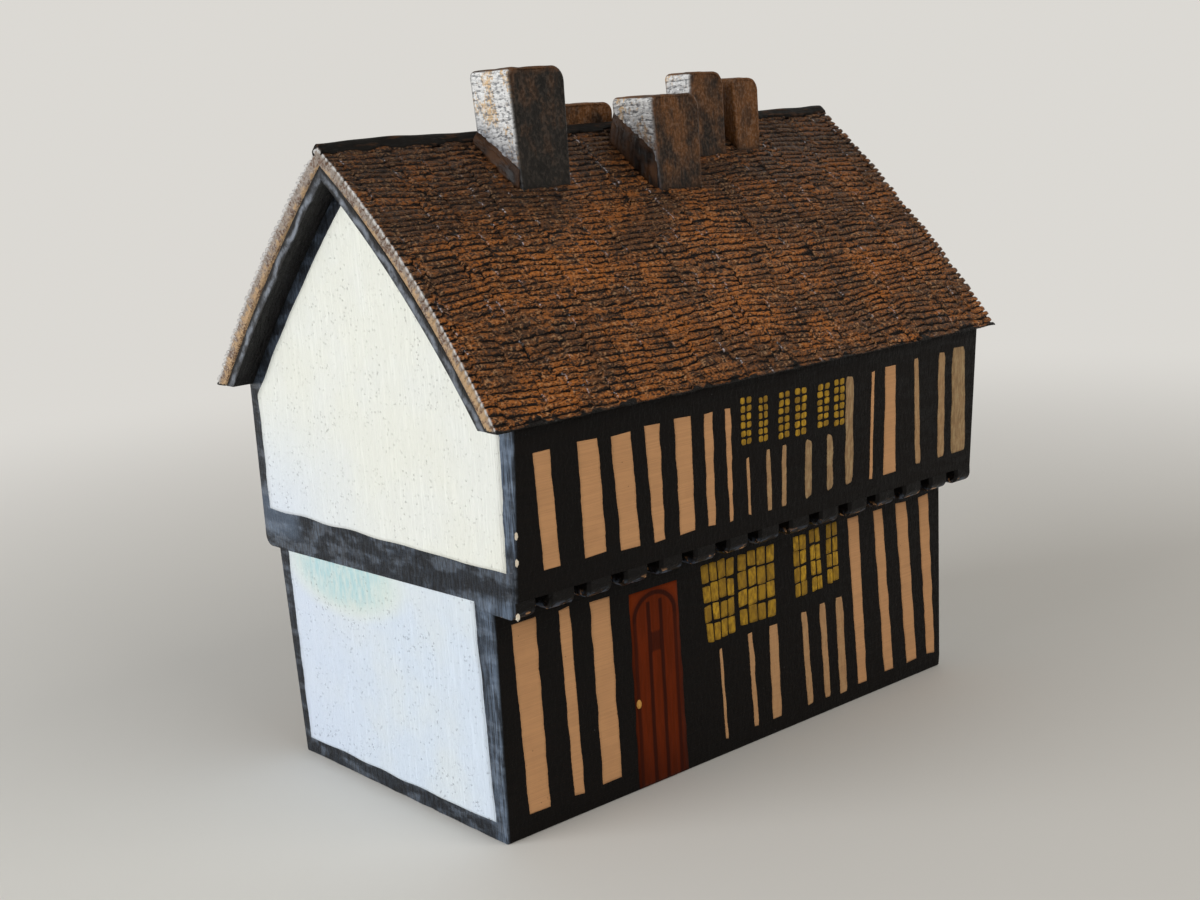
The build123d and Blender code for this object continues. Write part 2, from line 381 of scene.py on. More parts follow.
class Finish:
    """A material under construction. node() adds any node, and the rest are shorthands for it."""

    def __init__(self, name):
        self.material = bpy.data.materials.new(name)
        self.material.use_nodes = True
        self.tree = self.material.node_tree
        self.tree.nodes.clear()
        coordinates = self.node("ShaderNodeTexCoord", output="Object")
        self.place = self.node(
            "ShaderNodeVectorMath", {"operation": "SCALE"}, {0: coordinates, "Scale": 1 / MM}
        )

    def node(self, kind, settings=None, inputs=None, output=0):
        """Adds a node, sets its settings, then the values or links of its sockets."""
        made = self.tree.nodes.new(kind)
        for key, value in (settings or {}).items():
            setattr(made, key, value)
        for key, value in (inputs or {}).items():
            if isinstance(value, Shade):
                self.tree.links.new(value.socket, made.inputs[key])
            else:
                made.inputs[key].default_value = value
        return Shade(self, made.outputs[output]) if made.outputs else None

    def axis(self, name):
        """One coordinate of the surface in millimetres."""
        return self.node("ShaderNodeSeparateXYZ", {}, {0: self.place}, name)

    def noise(self, grain, detail=3.0, roughness=0.55, shift=0.0):
        """Noise from 0 to 1 with grains this many millimetres long in X, Y and Z."""
        stretched = self.node(
            "ShaderNodeVectorMath", {"operation": "MULTIPLY_ADD"},
            {0: self.place, 1: tuple(1 / g for g in grain), 2: (shift, shift, shift)},
        )
        return self.node(
            "ShaderNodeTexNoise", {},
            {"Vector": stretched, "Scale": 1.0, "Detail": detail, "Roughness": roughness},
        )

    def specks(self, pitch, radius, share, shift=0.0):
        """Round specks of a radius in a share of the cells of this pitch, in millimetres."""
        settings = {"voronoi_dimensions": "3D"}
        moved = self.node(
            "ShaderNodeVectorMath", {"operation": "ADD"}, {0: self.place, 1: (shift, shift, shift)}
        )
        inputs = {"Vector": moved, "Scale": 1 / pitch}
        distance = self.node("ShaderNodeTexVoronoi", settings, inputs, "Distance")
        cell = self.node("ShaderNodeTexVoronoi", settings, inputs, "Color")
        chosen = self.node("ShaderNodeSeparateColor", {}, {0: cell}, "Red").ease(share, share - 0.02)
        return distance.ease(radius / pitch, 0.4 * radius / pitch) * chosen

    def mark(self, name):
        """A point attribute of the piece."""
        return self.node("ShaderNodeAttribute", {"attribute_name": name}, output="Fac")

    def mix(self, factor, first, second):
        """A colour between two."""
        return self.node(
            "ShaderNodeMix", {"data_type": "RGBA", "clamp_factor": True}, {0: factor, 6: first, 7: second}, 2
        )

    def bump(self, height, depth):
        """Normals of a surface this many millimetres deep."""
        return self.node("ShaderNodeBump", {}, {"Height": height, "Distance": depth * MM, "Strength": 1.0})

    def done(self, base, roughness, normal=None, **sockets):
        """Joins the colour, roughness and normal in one shader and gives back the material."""
        inputs = {"Base Color": base, "Roughness": roughness, **sockets}
        if normal:
            inputs["Normal"] = normal
        shader = self.node("ShaderNodeBsdfPrincipled", {}, inputs)
        self.node("ShaderNodeOutputMaterial", {}, {"Surface": shader})
        return self.material


# The frame's own measures

UPPER, GROUND = vertices("upper_floor"), vertices("ground_floor")
STOREY = GROUND[:, 2].max()
WALL_LEFT, WALL_RIGHT = UPPER[:, 0].min(), UPPER[:, 0].max()
JETTY_FRONT = UPPER[UPPER[:, 2] < STOREY + MM, 1].min()
UPPER_FRONT, UPPER_BACK = UPPER[:, 1].min(), UPPER[:, 1].max()
GROUND_RIGHT = GROUND[:, 0].max()
FOOT_FRONT, FOOT_BACK = (pick(GROUND[GROUND[:, 2] < STOREY / 2, 1]) for pick in (np.min, np.max))
HEAD_FRONT, HEAD_BACK = (pick(GROUND[GROUND[:, 2] > STOREY / 2, 1]) for pick in (np.min, np.max))
SLOPES = {FRONT: Slope(FRONT, "front"), BACK: Slope(BACK, "back")}
EAVE = SLOPES[FRONT].eave[1]
ROOF_HALF = SLOPES[FRONT].right
FRONT_UPPER = Face(
    (WALL_LEFT, JETTY_FRONT, STOREY), (WALL_RIGHT, JETTY_FRONT, STOREY), (WALL_LEFT, UPPER_FRONT, EAVE)
)
BACK_UPPER = Face(
    (WALL_RIGHT, UPPER_BACK, STOREY), (WALL_LEFT, UPPER_BACK, STOREY), (WALL_RIGHT, UPPER_BACK, EAVE)
)
FRONT_LOWER = Face((WALL_LEFT, FOOT_FRONT, 0), (GROUND_RIGHT, FOOT_FRONT, 0), (WALL_LEFT, HEAD_FRONT, STOREY))
BACK_LOWER = Face((GROUND_RIGHT, FOOT_BACK, 0), (WALL_LEFT, FOOT_BACK, 0), (GROUND_RIGHT, HEAD_BACK, STOREY))

# Stripes, as shares of a wall face: head left and right, foot left and right, foot and head height,
# and how grey the stripe is
UPPER_STRIPE_SHARES = (
    (0.034, 0.063, 0.050, 0.079, 0.15, 0.84, 0.0),
    (0.112, 0.149, 0.124, 0.164, 0.15, 0.84, 0.0),
    (0.173, 0.210, 0.192, 0.228, 0.13, 0.83, 0.0),
    (0.236, 0.265, 0.256, 0.277, 0.12, 0.84, 0.0),
    (0.294, 0.327, 0.308, 0.338, 0.12, 0.84, 0.0),
    (0.353, 0.371, 0.365, 0.381, 0.12, 0.83, 0.0),
    (0.396, 0.409, 0.411, 0.418, 0.11, 0.83, 0.0),
    (0.444, 0.450, 0.451, 0.457, 0.12, 0.49, 0.3),
    (0.487, 0.496, 0.493, 0.503, 0.11, 0.51, 0.7),
    (0.522, 0.532, 0.525, 0.535, 0.11, 0.51, 0.7),
    (0.575, 0.590, 0.578, 0.593, 0.12, 0.50, 1.0),
    (0.625, 0.639, 0.629, 0.643, 0.13, 0.50, 1.0),
    (0.667, 0.685, 0.672, 0.691, 0.13, 0.85, 1.0),
    (0.729, 0.736, 0.732, 0.739, 0.12, 0.85, 0.0),
    (0.763, 0.788, 0.767, 0.798, 0.12, 0.86, 0.0),
    (0.835, 0.846, 0.849, 0.863, 0.13, 0.87, 0.7),
    (0.899, 0.916, 0.908, 0.926, 0.13, 0.87, 0.8),
    (0.936, 0.969, 0.944, 0.984, 0.13, 0.88, 1.0),
)
LOWER_STRIPE_SHARES = (
    (0.031, 0.075, 0.043, 0.082, 0.09, 0.87, 0.0),
    (0.118, 0.139, 0.129, 0.149, 0.09, 0.87, 0.0),
    (0.178, 0.216, 0.186, 0.224, 0.09, 0.86, 0.0),
    (0.441, 0.447, 0.449, 0.455, 0.07, 0.48, 0.3),
    (0.506, 0.517, 0.516, 0.526, 0.07, 0.50, 0.3),
    (0.556, 0.576, 0.559, 0.581, 0.07, 0.50, 0.3),
    (0.633, 0.647, 0.645, 0.659, 0.07, 0.51, 0.5),
    (0.678, 0.693, 0.689, 0.703, 0.07, 0.52, 0.5),
    (0.719, 0.737, 0.727, 0.746, 0.06, 0.52, 0.5),
    (0.753, 0.781, 0.775, 0.797, 0.07, 0.87, 0.0),
    (0.820, 0.844, 0.845, 0.869, 0.08, 0.87, 0.0),
    (0.879, 0.909, 0.906, 0.934, 0.08, 0.87, 0.0),
    (0.942, 0.969, 0.963, 0.986, 0.08, 0.87, 0.0),
)
# The back has two more, as it has no door
BACK_STRIPE_SHARES = LOWER_STRIPE_SHARES + (
    (0.262, 0.292, 0.268, 0.298, 0.09, 0.86, 0.0),
    (0.332, 0.360, 0.340, 0.366, 0.09, 0.87, 0.0),
)
# Window lights, as shares of a wall face, in the same order; then columns and rows of panes
UPPER_LIGHT_SHARES = (
    (0.428, 0.454, 0.432, 0.455, 0.57, 0.88, 2, 6),
    (0.467, 0.489, 0.470, 0.492, 0.56, 0.86, 2, 6),
    (0.512, 0.539, 0.512, 0.539, 0.55, 0.86, 2, 6),
    (0.547, 0.577, 0.550, 0.578, 0.54, 0.86, 2, 6),
    (0.599, 0.630, 0.601, 0.629, 0.56, 0.85, 2, 6),
    (0.637, 0.664, 0.640, 0.667, 0.54, 0.86, 2, 6),
)
LOWER_LIGHT_SHARES = (
    (0.403, 0.481, 0.416, 0.479, 0.52, 0.87, 4, 4),
    (0.487, 0.575, 0.487, 0.574, 0.54, 0.87, 4, 4),
    (0.616, 0.649, 0.620, 0.650, 0.58, 0.87, 2, 4),
    (0.656, 0.682, 0.662, 0.689, 0.58, 0.88, 2, 4),
    (0.697, 0.726, 0.699, 0.730, 0.60, 0.88, 2, 4),
)
# How much of its place a pane fills, along and up, and how round it is
UPPER_PANE_FORM, LOWER_PANE_FORM = (0.80, 0.82, 0.3), (0.90, 0.92, 0.1)
# Door, as shares of the lower front face: head left and right, foot left and right, head height
DOOR_SHARES = (0.255, 0.354, 0.259, 0.364, 0.84)
KNOB_SHARES = (0.265, 0.37)
# Chips in the corner of the upper front: height up the wall, as shares
CHIP_SHARES = (0.39, 0.235, -0.08)
# Half width, half height and thickness of the knob and of a chip; then how far a chip's middle is from the
# corner, and how far its rim stands off the wall
KNOB_HALF_WIDE, KNOB_HALF_TALL, KNOB_THICK = 0.62 * MM, 0.95 * MM, 0.35 * MM
CHIP_HALF_WIDE, CHIP_HALF_TALL, CHIP_THICK = 0.36 * MM, 0.75 * MM, 0.12 * MM
CHIP_INSIDE, CHIP_LIFT = 0.42 * MM, 0.03 * MM
# Black timber beside the gable panels, in millimetres: at the foot, then how much wider for each metre up
UPPER_FRONT_POST, UPPER_BACK_POST = (2.4, 38.0), (3.0, 0.0)
LOWER_FRONT_POST, LOWER_BACK_POST = (3.0, 55.0), (2.2, 27.0)
# Black between the boards and the upper panels, and the panels' feet and heads
FRONT_RAFTER, BACK_RAFTER = 1.3 * MM, 2.7 * MM
UPPER_PANEL_FOOT, UPPER_PANEL_HEAD = STOREY + 5.0 * MM, 117.6 * MM
LOWER_PANEL_FOOT, LOWER_PANEL_HEAD, LOWER_PANEL_RISE = 3.5 * MM, STOREY - 3.4 * MM, 1.5 * MM
# Stain on the left lower panel, in millimetres: its middle across and up, half its width and half its height
STAIN = (14.0, 44.0, 21.0, 9.0)
# Wedges at the left feet of chimneys, in millimetres: height at the back and the front, width at both
WEDGES = {"left": (2.2, 3.5, 1.9, 1.3), "middle": (8.0, 8.2, 2.4, 1.5)}
# Chimneys: the slope each one is on, then as shares how warm its colour is, how far its sides are carved
# and how round its right shoulder is
CHIMNEYS = {
    "left": (FRONT, 0.0, 1.0, 1.0), "middle": (FRONT, 0.7, 1.0, 1.0), "tall": (FRONT, 0.6, 1.0, 1.0),
    "right": (FRONT, 1.5, 0.0, 1.0), "back": (BACK, 0.9, 0.0, 0.8),
}


def front_wall(z):
    """Where the leaning upper front is at heights z."""
    return JETTY_FRONT + (UPPER_FRONT - JETTY_FRONT) * (z - STOREY) / (EAVE - STOREY)


# Finishes

SPECK_GREY, PIN_BROWN, PORE_BROWN = (0.70, 0.71, 0.72), (0.50, 0.48, 0.40), (0.38, 0.25, 0.15)
GABLE_WARM, STAIN_RIM, BRUSH_PALE = (0.94, 0.93, 0.84), (0.91, 0.93, 0.80), (0.74, 0.66, 0.50)
DOOR_CORNER, CHIP_PALE, CHIP_WARM = (0.50, 0.19, 0.03), (0.95, 0.93, 0.88), (0.88, 0.80, 0.68)


def timber_paint(paint):
    """Black paint: faint brush streaks; on the left gable glossy, with scuffs, pale specks and bluish smears
    of painted sheen.

    The near corner is worn in upright threads that are partly painted sheen, and the band's far end is a dull
    grey-blue painted sheen.
    """
    f = Finish("timber_paint")
    streak = f.noise((6.0, 6.0, 1.2), 4.0).ease(0.36, 0.64)
    base = f.mix(streak, linear(paint.timber_black), linear([c * 1.35 for c in paint.timber_black]))
    gable = f.axis("X").ease(WALL_LEFT / MM + 0.7, WALL_LEFT / MM + 0.05)
    band = f.axis("Z").ease(STOREY / MM - 2.0, STOREY / MM + 1.0)
    band = band * f.axis("Z").ease(STOREY / MM + 11.0, STOREY / MM + 7.0)
    near = f.axis("Y").ease(FOOT_FRONT / MM + 6.0, FOOT_FRONT / MM) * (1 - band)
    far = f.axis("Y").ease(UPPER_BACK / MM - 17.0, UPPER_BACK / MM - 11.0) * band
    thread = f.noise((0.6, 0.45, 7.0), 3.0, 0.6, shift=12.0).ease(0.40, 0.62)
    sheen_smear = f.noise((9.0, 9.0, 3.2), 3.0, 0.6, shift=9.0).ease(0.46, 0.62)
    scuff = f.noise((1.0, 0.6, 2.2), 4.0, 0.65, shift=4.0).ease(0.40, 0.64)
    # How much of the dust colour goes on the left gable: dust and wear, with painted sheen in the smears, the
    # corner threads and the band's far end
    worn = 0.05 + 0.12 * scuff + 0.55 * sheen_smear * (0.25 + 0.4 * scuff) + near * (0.1 + 0.6 * thread) + 0.4 * far
    base = f.mix(gable * worn, base, linear(paint.timber_dust_and_sheen))
    base = f.mix(f.specks(1.6, 0.15, 0.06) * (0.15 + 0.6 * gable), base, linear(SPECK_GREY))
    return f.done(
        base, 0.42 - 0.14 * gable + 0.15 * streak, f.bump(streak + 0.8 * scuff, 0.1),
        **{"Specular IOR Level": 0.09, "Coat Weight": gable * (0.1 + 0.5 * sheen_smear), "Coat Roughness": 0.2},
    )


def joist_paint(paint):
    """Black paint on the joist ends, greyed on the noses with dust and a painted sheen, and chipped to the
    wood in places.
    """
    f = Finish("joist_paint")
    cloud = f.noise((2.4, 1.2, 1.2), 4.0, 0.6).ease(0.36, 0.64)
    nose = f.axis("Z").ease(STOREY / MM - 1.6, STOREY / MM - 3.0)
    base = f.mix(nose * cloud.ease(0.4, 1.0) * 0.5, linear(paint.timber_black), linear(paint.timber_dust_and_sheen))
    chip = nose * f.noise((2.6, 1.2, 1.2), 3.0, 0.5, shift=17.0).ease(0.60, 0.63)
    base = f.mix(chip, base, linear(paint.bare_wood))
    return f.done(
        base, 0.34 + 0.2 * cloud, f.bump(cloud, 0.12),
        **{"Specular IOR Level": 0.14, "Coat Weight": nose * 0.25, "Coat Roughness": 0.25},
    )


def soffit_paint(paint, slope):
    """Glossy black paint under the tiles, with a broken grey streak along the board's edge: a painted
    highlight.

    The depth of a point under the tiles is found as in Slope: the belly less the distance off the chord.
    """
    f = Finish("soffit_paint")
    out, down = abs(f.axis("Y")), slope.ridge[1] / MM - f.axis("Z")
    wide, tall = abs(slope.chord) / slope.length
    share = (out * wide + down * tall) / (slope.length / MM)
    depth = share * (1 - share) * (4 * slope.crown / MM) - (out * tall - down * wide)
    fine = f.noise((0.8, 3.0, 3.0), 4.0, 0.65).ease(0.36, 0.64)
    wave = f.noise((3.0, 7.0, 7.0), 3.0, 0.6, shift=12.0)
    line = (slope.tile_depth + 0.6 * (slope.board_depth - slope.tile_depth)) / MM
    edge = abs(f.axis("X")).ease(ROOF_HALF / MM - 0.6, ROOF_HALF / MM - 0.3)
    # streak: a painted highlight along the lower edge of the board's end
    streak = edge * abs(depth - line + 3.4 * (wave - 0.5)).ease(1.0, 0.1) * (0.15 + 0.85 * fine)
    base = f.mix(0.02 + 0.75 * streak, linear(paint.ridge_black), linear(paint.soffit_highlight))
    return f.done(
        base, 0.42 - 0.2 * streak, f.bump(fine + 2.0 * wave, 0.25),
        **{"Specular IOR Level": 0.14, "Coat Weight": 0.1 + 0.6 * streak, "Coat Roughness": 0.18},
    )


def gable_paint(paint, name, colour, stain=None):
    """White paint over upright grain: brush streaks, drifts of pimples and a few dark pins.

    It is cooler low at the back: a painted cool tint of the window light, as on the lower panels.
    A stained panel on the left gable has a soft wash inside an ellipse, with a yellowish rim.
    """
    f = Finish(name)
    streak = f.noise((0.7, 0.5, 12.0), 4.0, 0.65).ease(0.36, 0.64)
    cloud = f.noise((20.0, 20.0, 20.0), 3.0, shift=5.0).ease(0.36, 0.64)
    base = f.mix(streak * 0.6, linear(colour), linear([c * 0.955 for c in colour]))
    base = f.mix(cloud * 0.22, base, linear(GABLE_WARM))
    # cool: low at the back, a painted cool tint of the window light
    cool = f.axis("Y").ease(-10.0, 40.0) * f.axis("Z").ease(85.0, 50.0)
    base = f.mix(cool * 0.7, base, linear([c * s for c, s in zip(paint.gable_white_cool_light, (0.985, 0.98, 0.995))]))
    pins = f.specks(3.1, 0.2, 0.04)
    base = f.mix(pins * 0.55, base, linear(PIN_BROWN))
    if stain:
        across, up, wide, tall = stain
        away = ((f.axis("Y") - across) / wide) ** 2.0 + ((f.axis("Z") - up) / tall) ** 2.0
        left = f.axis("X").ease(1.0, -1.0)
        patchy = f.noise((2.0, 1.2, 4.0), 3.0, 0.6, shift=2.0).ease(0.34, 0.66)
        base = f.mix(away.ease(1.5, 0.5) * left * 0.4, base, linear(STAIN_RIM))
        base = f.mix(away.ease(1.0, 0.1) * left * (0.25 + 0.4 * patchy), base, linear(paint.gable_stain))
    drift = f.noise((9.0, 9.0, 13.0), 3.0, 0.6, shift=14.0).ease(0.42, 0.62)
    pimples = f.specks(1.3, 0.34, 0.16, shift=7.0) + 0.7 * f.specks(0.8, 0.24, 0.2, shift=3.0)
    height = 0.2 * streak + (0.35 + 0.65 * drift) * pimples - 0.2 * pins
    return f.done(base, 0.45 + 0.15 * streak, f.bump(height, 0.34), **{"Specular IOR Level": 0.3})


def bare_wood(paint):
    """Bare wood and thin paint: fine level grain, dark pores, and streaky grey paint on some stripes."""
    f = Finish("bare_wood")
    grain = f.noise((20.0, 20.0, 0.22), 3.0, 0.6).ease(0.38, 0.64)
    cloud = f.noise((9.0, 9.0, 6.0), 2.0, shift=4.0).ease(0.40, 0.66)
    brush = f.noise((0.5, 0.5, 2.4), 3.0, 0.6, shift=8.0).ease(0.36, 0.64)
    grey = f.mark("grey")
    base = f.mix(grey, linear(paint.bare_wood), linear(paint.grey_wood))
    base = f.mix(grain * 0.22, base, linear([c * 0.75 for c in paint.bare_wood]))
    base = f.mix(cloud * 0.2, base, linear([c * 0.8 for c in paint.bare_wood]))
    base = f.mix(grey * brush.ease(0.5, 0.0) * 0.3, base, linear([c * 0.55 for c in paint.grey_wood]))
    base = f.mix(grey * brush.ease(0.6, 1.0) * 0.35, base, linear(BRUSH_PALE))
    pores = f.specks(1.5, 0.16, 0.22)
    base = f.mix(pores * 0.6, base, linear(PORE_BROWN))
    return f.done(base, 0.5 + 0.12 * grain, f.bump(0.4 * grain - pores, 0.06), **{"Specular IOR Level": 0.12})


def pane_paint(paint):
    """Mustard yellow, brushed on unevenly, some panes brighter than others."""
    f = Finish("pane_paint")
    brush = f.noise((0.8, 0.8, 1.6), 3.0).ease(0.36, 0.64)
    dull = linear([c * s for c, s in zip(paint.pane_yellow, (0.62, 0.60, 0.70))])
    base = f.mix((0.25 + 0.75 * brush) * (0.3 + 0.7 * f.mark("tone")), dull, linear(paint.pane_yellow))
    return f.done(base, 0.42 + 0.1 * brush, f.bump(brush, 0.05), **{"Specular IOR Level": 0.12})


def door_paint(paint, face):
    """Red-brown door with a dark arch and jambs, two plank lines and a small dark hatch, soft as brushed on.

    The arch is half an ellipse over straight jambs: a line is dark where a point's distance from it is small.
    """
    f = Finish("door_paint")
    left, right, foot_left, foot_right, head = DOOR_SHARES
    up = f.axis("Z") / (head * face.height / MM)
    start = (face.origin[0] + foot_left * face.length) / MM
    lean = (left - foot_left) * face.length / MM
    wide = (right - left) * face.length / MM
    across = (f.axis("X") - start - up * lean) / wide
    brush = f.noise((0.9, 0.9, 9.0), 4.0, 0.6).ease(0.36, 0.64)
    sway = 0.03 * (f.noise((4.0, 4.0, 9.0), 2.0, shift=6.0) - 0.5)
    spring, reach = 0.86, 0.42
    half = abs(across - 0.5 + sway)
    arch = ((half / reach) ** 2.0 + ((up - spring) / 0.115) ** 2.0) ** 0.5
    crown = abs(arch - 1.0).ease(0.15, 0.04) * up.ease(spring - 0.02, spring)
    jambs = abs(half - reach).ease(0.065, 0.015) * up.ease(spring, spring - 0.02) * 0.8
    planks = abs(half - 0.13).ease(0.06, 0.015) * up.ease(0.945, 0.93)
    hatch = half.ease(0.13, 0.1) * up.ease(0.67, 0.69) * up.ease(0.79, 0.77) * 0.7
    dark = (crown + jambs + planks + hatch).ease(0.0, 1.0)
    base = f.mix(0.3 + 0.4 * brush, linear(paint.door_red), linear([c * 0.75 for c in paint.door_red]))
    base = f.mix(arch.ease(1.1, 1.3) * up.ease(spring, spring + 0.02) * 0.5, base, linear(DOOR_CORNER))
    base = f.mix(up.ease(0.3, 0.0) * 0.45, base, linear(paint.door_line))
    base = f.mix(half.ease(0.4, 0.5) * up.ease(0.9, 0.6) * 0.5, base, linear(paint.door_line))
    base = f.mix(dark * 0.85, base, linear(paint.door_line))
    return f.done(base, 0.4 + 0.12 * brush, f.bump(brush, 0.04), **{"Specular IOR Level": 0.06})


def knob_paint(paint):
    """Pale yellow dab of thick paint."""
    f = Finish("knob_paint")
    brush = f.noise((0.5, 0.5, 0.5), 2.0)
    base = f.mix(brush, linear(paint.knob_yellow), linear([c * 0.9 for c in paint.knob_yellow]))
    return f.done(base, 0.35 + 0.1 * brush)


def chip_wood():
    """Pale wood and ground paint where the corner is chipped."""
    f = Finish("chip_wood")
    patch = f.noise((0.6, 0.6, 0.6), 2.0)
    base = f.mix(patch, linear(CHIP_PALE), linear(CHIP_WARM))
    return f.done(base, 0.6 + 0.1 * patch)


def tile_varnish(paint):
    """Varnished tiles: dark recesses, partly painted shade; gritty brown bars, orange in drifts; painted
    shadow of the chimneys near the ridge; painted glints on the left edges of some tiles; bare ends, with
    painted glints along their rim.

    Black paint from the wall runs a little way up the eave in places.
    """
    f = Finish("tile_varnish")
    lift, tone, verge, cut = (f.mark(name) for name in ("lift", "tone", "verge", "cut"))
    drift = f.noise((15.0, 11.0, 11.0), 3.0, 0.6).ease(0.34, 0.66)
    grit = f.noise((0.6, 0.42, 0.42), 2.0, 0.6, shift=6.0).ease(0.36, 0.64)
    fleck = f.noise((1.5, 0.8, 0.8), 3.0, 0.6, shift=3.0).ease(0.36, 0.64)
    run = f.noise((0.7, 2.6, 2.6), 3.0, 0.6, shift=11.0).ease(0.36, 0.64)
    height = f.axis("Z") - EAVE / MM
    # ridge: near the ridge the tiles are painted darker and less orange, a painted shadow of the chimneys
    ridge = height.ease(22.0, 44.0)
    warm = (0.6 * drift + 0.3 * grit + 0.3 * fleck + 0.3 * tone - 0.2 * ridge).ease(0.45, 1.25)
    raised = f.mix(warm, linear(paint.tile_brown), linear(paint.tile_orange))
    raised = f.mix((0.65 * grit + 0.35 * fleck).ease(0.58, 0.12) * 0.8, raised, linear(paint.tile_dark_and_shade))
    raised = f.mix((0.6 * grit + 0.4 * run).ease(0.7, 1.0) * 0.5, raised, linear(paint.verge_tan))
    raised = f.mix(ridge * 0.45, raised, linear(paint.tile_dark_and_shade))
    # Low places take the dark colour: stain, with painted shade in the recesses
    base = f.mix((lift + 0.35 * grit + 0.1 * fleck).ease(0.45, 0.95), linear(paint.tile_dark_and_shade), raised)
    # The mark "cut" holds the painted glints, just right of the left cut of some tiles
    base = f.mix(cut.ease(0.4, 0.9) * grit.ease(0.5, 0.8) * 0.62, base, linear(paint.tile_glint))
    end = abs(f.axis("X")).ease(ROOF_HALF / MM - 0.9, ROOF_HALF / MM - 0.5) * verge.ease(0.03, 0.12)
    bare = (verge + 0.6 * run - 0.014 * height).ease(0.4, 1.0)
    bare = f.mix(bare, linear(paint.verge_grey), linear(paint.verge_tan))
    bare = f.mix((0.5 * run + 0.5 * grit).ease(0.48, 0.15) * 0.85, bare, linear(paint.tile_brown))
    # Painted glints along the rim's teeth
    bare = f.mix(verge.ease(0.34, 0.12) * lift.ease(0.2, 0.6), bare, linear(paint.verge_rim_glint))
    base = f.mix(end, base, bare)
    splash = f.noise((7.0, 4.0, 40.0), 3.0, 0.6, shift=21.0).ease(0.48, 0.66)
    base = f.mix((height - 1.3 * splash - 0.3 * grit).ease(0.3, 0.0), base, linear(paint.ridge_black))
    return f.done(
        base, 0.3 + 0.25 * grit, f.bump(grit + 0.5 * fleck, 0.16),
        **{"Specular IOR Level": 0.17, "Coat Weight": 0.04 + 0.8 * cut + 0.3 * end, "Coat Roughness": 0.14},
    )


def flashing_varnish(paint):
    """Smooth dark brown varnish, streaked down the slope."""
    f = Finish("flashing_varnish")
    streak = f.noise((0.9, 5.0, 5.0), 4.0, 0.6).ease(0.36, 0.64)
    cloud = f.noise((5.0, 5.0, 5.0), 2.0, shift=3.0).ease(0.36, 0.64)
    base = f.mix(0.25 * streak + 0.25 * cloud, linear(paint.tile_dark_and_shade), linear(paint.tile_brown))
    return f.done(base, 0.34 + 0.2 * streak, f.bump(streak, 0.15), **{"Specular IOR Level": 0.17})


def ridge_paint(paint):
    """Black paint along the ridge, thin at its edges."""
    f = Finish("ridge_paint")
    streak = f.noise((5.0, 1.0, 1.0), 4.0, 0.6)
    base = f.mix(streak.ease(0.5, 0.8) * 0.6, linear(paint.ridge_black), linear(paint.tile_brown))
    return f.done(base, 0.4 + 0.25 * streak, f.bump(streak, 0.3), **{"Specular IOR Level": 0.1})


def stack_varnish(paint):
    """Chimney finish: dark smooth faces with upright streaks and warm patches; the bricks are glossy."""
    f = Finish("stack_varnish")
    lift, brick, top, warm, up = (f.mark(name) for name in ("lift", "brick", "top", "warm", "up"))
    streak = f.noise((0.9, 0.9, 6.0), 4.0, 0.6).ease(0.34, 0.66)
    cloud = f.noise((4.5, 4.5, 6.5), 3.0, 0.55, shift=8.0).ease(0.34, 0.66)
    grit = f.noise((0.6, 0.6, 0.8), 2.0, 0.6, shift=1.0).ease(0.36, 0.64)
    spark = f.noise((1.2, 1.5, 0.45), 2.0, 0.6, shift=15.0).ease(0.38, 0.62)
    stack_deep_grey = linear([c * 0.4 for c in paint.stack_grey])
    patch = (0.45 * cloud + 0.15 * streak + 0.1 * grit + 0.75 * warm + 0.3 * (up - 0.5)).ease(0.35, 1.35)
    base = f.mix(patch, linear(paint.stack_grey), linear(paint.stack_brown))
    base = f.mix((0.65 * cloud + 0.35 * streak).ease(0.65, 0.05) * 0.55, base, stack_deep_grey)
    base = f.mix(streak.ease(0.65, 1.0) * 0.3, base, stack_deep_grey)
    base = f.mix(grit.ease(0.45, 0.0) * 0.3, base, stack_deep_grey)
    base = f.mix(grit.ease(0.6, 1.0) * (0.06 + 0.1 * patch), base, linear(paint.verge_grey))
    # Darker towards the foot
    base = f.mix(up.ease(0.12, 0.0) * 0.85, base, stack_deep_grey)
    base = f.mix(top * (0.1 + 0.4 * cloud), base, linear(paint.stack_brown))
    mild = (0.7 * cloud + 0.3 * grit).ease(0.6, 0.9)
    pale = f.mix(mild, linear(paint.brick_pale), linear(paint.brick_warm))
    pale = f.mix(up.ease(0.5, 0.08) * (0.5 + 0.5 * cloud), pale, linear(paint.brick_blue))
    pale = f.mix(up.ease(1.0, 0.35) * (1.1 * warm) * (0.5 + 0.5 * grit), pale, linear(paint.brick_blue))
    raised = (0.8 * lift + 0.45 * spark).ease(0.0, 0.65)
    fired = f.mix(raised, linear([c * 0.5 for c in paint.brick_pale]), pale)
    fired = f.mix(spark.ease(0.35, 0.0) * 0.3, fired, linear(paint.brick_blue))
    base = f.mix(brick, base, fired)
    return f.done(
        base, 0.4 - 0.16 * brick + 0.2 * grit, f.bump(0.6 * streak + 0.6 * grit + 0.6 * brick * spark, 0.16),
        **{"Specular IOR Level": 0.13, "Coat Weight": 0.04 + 0.85 * brick, "Coat Roughness": 0.12},
    )


